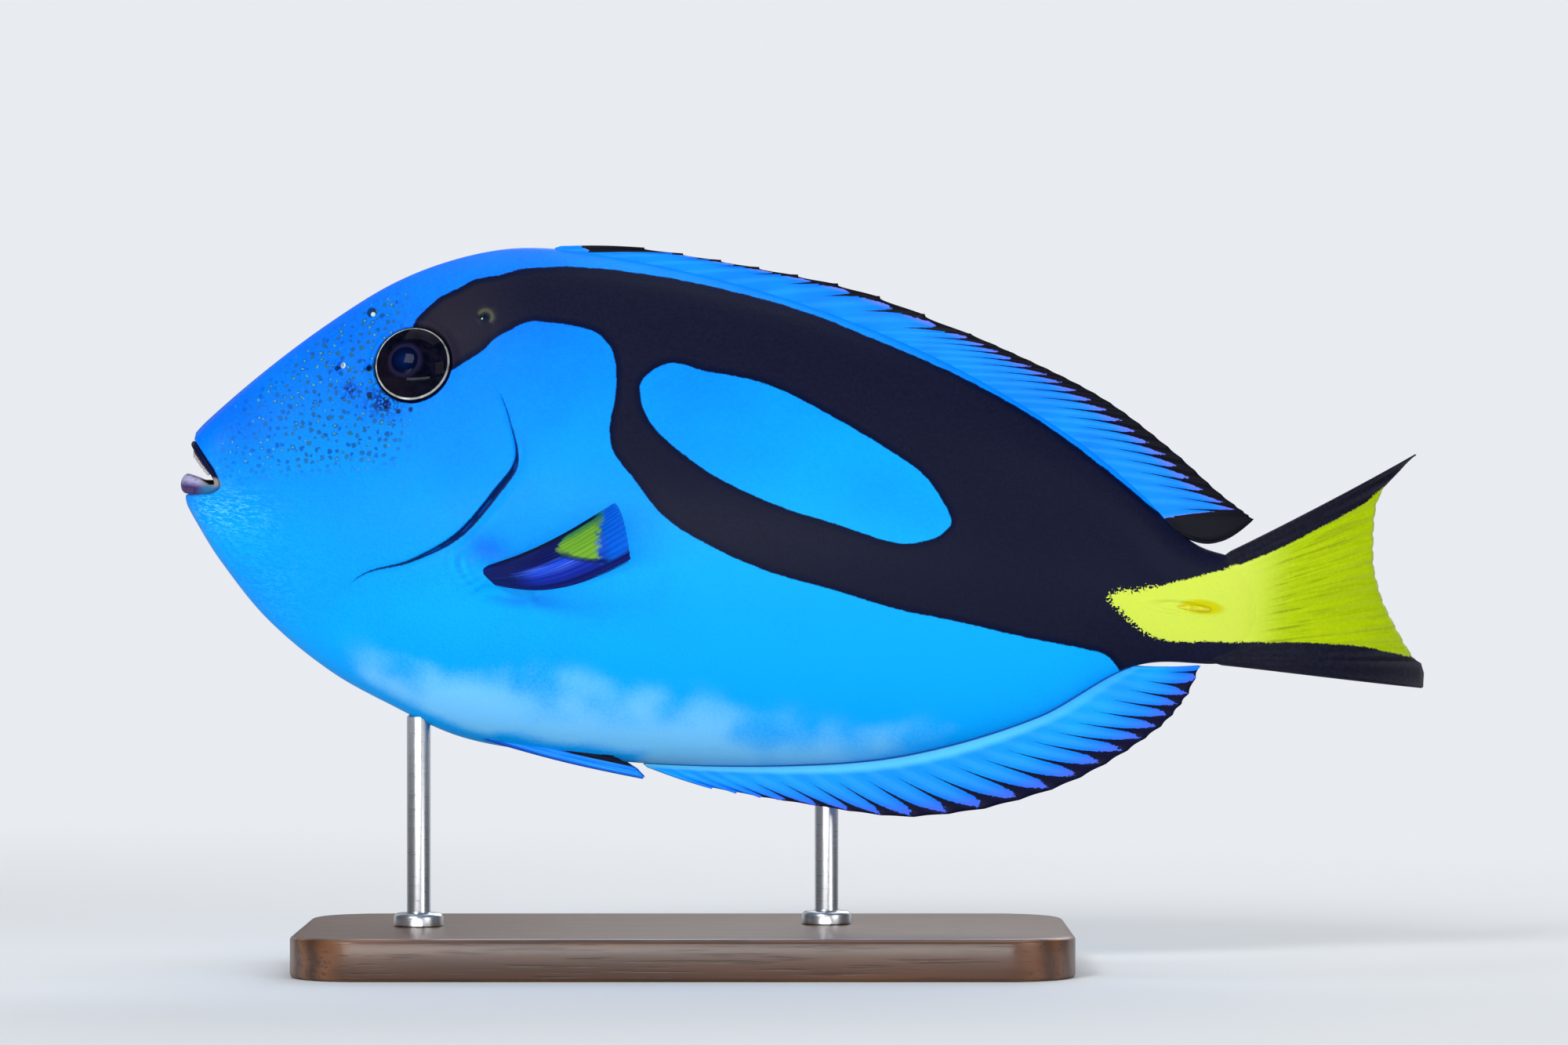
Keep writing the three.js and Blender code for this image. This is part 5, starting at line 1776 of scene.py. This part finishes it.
def buildScalpels():
    material = scalpelMaterial()
    sizes = scalpel
    rings, count = sizes["rings"], sizes["around"]
    x, z = sizes["x"], sizes["z"]
    wide, tall, long = (sizes[k] / 2 for k in ("thickness", "height", "length"))
    for word, side in sides.items():
        y = side * (float(flankAt(x, z)) + sizes["proud"] - wide)
        points = []
        for i in range(1, rings + 1):
            t = i / (rings + 1)  # from the sharp front tip to the hinge at the back
            girth = 1.62 * t**0.75 * (1 - t) ** 0.42
            for a in ringAngles(count):
                points.append((x + (2 * t - 1) * long, y + side * wide * girth * math.cos(a),
                               z + tall * girth * math.sin(a) + sizes["slope"] * (t - 0.5)))
        last = len(points)
        points += [(x - long, y, z - 0.12), (x + long, y, z + 0.12)]
        faces = ringFaces(rings, count) + fan(last, range(count)) + fan(last + 1, range(last - count, last))
        points = np.array(points)
        mesh = meshFrom("tang_scalpel_" + word, toRow(points), faces, {"flank": points[:, [0, 2, 1]]})
        faceOut(mesh)
        finished(newObject("tang_scalpel_" + word, mesh, material), "spine", "tail_spine_" + word)


stand = {
    "length": 130,
    "width": 66,
    "thickness": 7,
    "corner": 12,
    "bevel": 1.3,
    "rodRadius": 2,
    "collarRadius": 4.2,
    "collarHeight": 2.2,
    "rods": {"front": (-45, 0), "rear": (24, 5.6)},
    "into": 0.8,  # how far the rods go into the skin
    "wood": (paint(66, 40, 24), paint(112, 72, 44)),
    "cloud": paint(84, 52, 34),
    "pore": paint(38, 22, 14),
    "steel": (paint(192, 194, 198), paint(200, 202, 206)),
}


def lathe(profile, count):
    points = [(r * math.cos(a), r * math.sin(a), h) for r, h in profile for a in ringAngles(count)]
    return np.array(points), cappedRings(len(profile), count)


def bellyOver(x, y):  # the height in mm of the skin's underside over a place on the stand
    c, s = math.cos(fish["headUp"]), math.sin(fish["headUp"])
    ox, _, oz = fish["snout"]
    low, high = 20.0, 84.0
    for _ in range(40):
        z = (low + high) / 2
        dx, dz = x - ox, z - oz
        fx, fz = dx * c - dz * s, dx * s + dz * c
        inBody = bellyHeight(fx) < fz and flankAt(np.array(fx), np.array(fz)) > abs(y)
        low, high = (low, z) if inBody else (z, high)
    return low


def boardMesh():  # with round corners and a rounded upper edge
    corner, bevel = stand["corner"], stand["bevel"]
    outline = []
    for cx, cy, start in ((1, -1, -0.5), (1, 1, 0), (-1, 1, 0.5), (-1, -1, 1)):
        for k in range(17):
            a = math.pi * (start + k / 32)
            outline.append((cx, cy, math.cos(a), math.sin(a)))
    profile = [(0.7, 0), (0.15, 0.25), (0, 0.7)]  # inset and height
    for k in range(6, -1, -1):
        a = k / 6 * math.pi / 2
        profile.append((bevel * (1 - math.sin(a)), stand["thickness"] - 0.6 * bevel * (1 - math.cos(a))))
    alongX, alongY = (stand[k] / 2 - corner for k in ("length", "width"))
    points = [(cx * alongX + (corner - inset) * ax, cy * alongY + (corner - inset) * ay, height)
              for inset, height in profile for cx, cy, ax, ay in outline]
    mesh = meshFrom("stand_board", np.array(points) / 1000, cappedRings(len(profile), len(outline)))
    mesh.set_sharp_from_angle(angle=math.radians(50))
    return mesh


def rodMesh(name, x, y):  # with a collar at its foot, up to just inside the skin
    foot = stand["thickness"] + 0.02
    r, c, h = stand["rodRadius"], stand["collarRadius"], foot + stand["collarHeight"]
    top = bellyOver(x, y) + stand["into"]
    profile = [
        (c - 0.15, foot), (c, foot + 0.15), (c, h - 0.7), (c - 0.12, h - 0.35), (c - 0.5, h - 0.06),
        (c - 0.9, h), (r + 0.35, h), (r + 0.1, h + 0.08), (r, h + 0.35), (r, top - 0.4), (r - 0.4, top),
    ]
    points, faces = lathe(profile, 48)
    mesh = meshFrom(name, (points + [x, y, 0]) / 1000, faces)
    mesh.set_sharp_from_angle(angle=math.radians(40))
    return mesh


def woodMaterial():
    material, tree, shader = newMaterial("walnutBoard", Roughness=0.38, Specular_IOR_Level=0.45,
                                         Coat_Weight=0.25, Coat_Roughness=0.2)
    place = objectPlace(tree, (9, 95, 95))
    rings = tree.nodes.new("ShaderNodeTexWave")
    rings.wave_type = "BANDS"
    rings.bands_direction = "Y"
    for key, value in (("Vector", place), ("Scale", 1.1), ("Distortion", 5.5), ("Detail", 3),
                       ("Detail Scale", 1.2)):
        plug(rings.inputs[key], value)
    pore = fade(noise(objectPlace(tree, (60, 1600, 1600)), 1, 2, 0.6), 0.55, 0.7)
    colour = tint(rings.outputs["Fac"], *stand["wood"])
    colour = tint(fade(noise(place, 0.35, 3), 0.35, 0.7, 0, 0.5), colour, stand["cloud"])
    plug(shader.inputs["Base Color"], tint(times(pore, 0.55), colour, stand["pore"]))
    relief(shader, minus(1.0, pore), 0.00003)
    return material


def steelMaterial():
    material, tree, shader = newMaterial("brushedSteel", Roughness=0.28, Metallic=1.0)
    lines = noise(objectPlace(tree, (300, 300, 6000)), 1, 3, 0.6)
    plug(shader.inputs["Roughness"], fade(lines, 0.2, 0.8, 0.26, 0.34))
    plug(shader.inputs["Base Color"], tint(lines, *stand["steel"]))
    relief(shader, lines, 0.000001)
    return material


def buildStand():
    finished(newObject("stand_board", boardMesh(), woodMaterial()), "stand_wood", "stand_base")
    steel = steelMaterial()
    for word, (x, y) in stand["rods"].items():
        name = "stand_rod_" + word
        rod = newObject(name + "_steel", rodMesh(name + "_steel", x, y), steel)
        finished(rod, "stand_metal", name)


print("skin")
buildSkin()
print("fins")
buildMidFin("dorsal_fin", dorsalFin, midFinMaterial("dorsalFinSkin", dorsalFin))
buildMidFin("anal_fin", analFin, midFinMaterial("analFinSkin", analFin))
buildCaudalFin()
buildPair("pectoral", "dark_fin", pectoralFin, pectoralPlace, pectoralMaterial())
buildPair("pelvic", "blue_fin", pelvicFin, pelvicPlace, pelvicMaterial())
print("eyes, teeth and scalpels")
buildEyes()
buildTeeth()
buildScalpels()
print("stand")
buildStand()


camera = {
    "place": (0.01676, -1.0, 0.07519),
    "lens": 135.8,
}
stage = {
    "width": 7,
    "front": -3.5,
    "bend": 3,  # where the paper turns up behind, further out than any view is taken from
    "radius": 1,
    "height": 3.5,
    "paper": paint(214, 217, 220),
    "glow": (0.46, 0.48, 0.52, 1),  # of the paper's sides, where less and less light reaches them
    "glowFrom": 0.35,
    "glowTo": 1.3,
    "room": (0.81, 0.836, 0.88, 1),  # the tone into which the paper fades before the camera's eye
    "roomFrom": 0.2,
    "roomTo": 0.55,
}


def stageMaterial():
    material, tree, shader = newMaterial("stagePaper", Roughness=0.9, Specular_IOR_Level=0,
                                         Emission_Strength=1.0)
    place = objectPlace(tree)
    x, y = separate(place)[0], separate(place)[1]
    outward = calc("MAXIMUM", calc("ABSOLUTE", x), times(y, -1.0))
    black = (0, 0, 0, 1)
    glow = tint(fade(outward, stage["glowFrom"], stage["glowTo"]), black, stage["glow"])
    seen = tree.nodes.new("ShaderNodeLightPath").outputs["Is Camera Ray"]
    far = times(fade(vectorMath("LENGTH", place), stage["roomFrom"], stage["roomTo"]), seen)
    plug(shader.inputs["Base Color"], tint(far, stage["paper"], black))
    plug(shader.inputs["Emission Color"], tint(far, glow, stage["room"]))
    return material


def buildStage():
    radius = stage["radius"]
    profile = [(stage["front"], 0), (stage["bend"] - radius, 0)]
    for k in range(1, 13):
        a = k / 12 * math.pi / 2
        profile.append((stage["bend"] - radius + radius * math.sin(a), radius * (1 - math.cos(a))))
    profile.append((stage["bend"], stage["height"]))
    half = stage["width"] / 2
    points = [(x, y, z) for y, z in profile for x in (-half, half)]
    faces = [(2 * i, 2 * i + 1, 2 * i + 3, 2 * i + 2) for i in range(len(profile) - 1)]
    newObject("stage_paper", meshFrom("stage_paper", points, faces), stageMaterial())


lights = {  # place, size in metres and watts
    "keyLight": {"place": (-0.5, -0.95, 0.85), "size": (0.36, 0.36), "power": 7.7},
    "fillLight": {"place": (0.75, -0.8, 0.4), "size": (0.5, 0.5), "power": 2.9},
    "topLight": {"place": (0.05, 0.15, 1.15), "size": (1.0, 0.8), "power": 6.2},
    "backLight": {"place": (0.25, 0.75, 0.6), "size": (0.8, 0.5), "power": 4},
    "lowLight": {"place": (-0.1, -0.95, 0.06), "size": (0.8, 0.08), "power": 4.0},
}
lightTarget = (0, 0, 0.07)
# How bright the room beyond the stage lights the fish, and looks
room = {"light": 0.13, "seen": 0.88, "tone": (0.92, 0.95, 1, 1)}


def areaLight(name, place, size, power):
    light = bpy.data.lights.new(name, "AREA")
    light.shape = "RECTANGLE"
    light.size, light.size_y = size
    light.energy = power
    obj = newObject(name, light)
    obj.location = place
    obj.rotation_euler = (Vector(lightTarget) - Vector(place)).to_track_quat("-Z", "Y").to_euler()
    obj.visible_camera = False


def buildLights():
    for name, values in lights.items():
        areaLight(name, **values)
    world = bpy.data.worlds.new("room")
    bpy.context.scene.world = world
    world.use_nodes = True
    background = world.node_tree.nodes["Background"]
    background.inputs["Color"].default_value = room["tone"]
    seen = world.node_tree.nodes.new("ShaderNodeLightPath").outputs["Is Camera Ray"]
    plug(background.inputs["Strength"], fade(seen, 0, 1, room["light"], room["seen"]))


def buildCamera():
    data = bpy.data.cameras.new("camera")
    data.sensor_width = 36
    data.lens = camera["lens"]
    obj = newObject("camera", data)
    obj.location = camera["place"]
    obj.rotation_euler = (math.pi / 2, 0, 0)
    bpy.context.scene.camera = obj


print("stage, lights and camera")
buildStage()
buildLights()
buildCamera()
bpy.context.scene.view_settings.view_transform = "Standard"
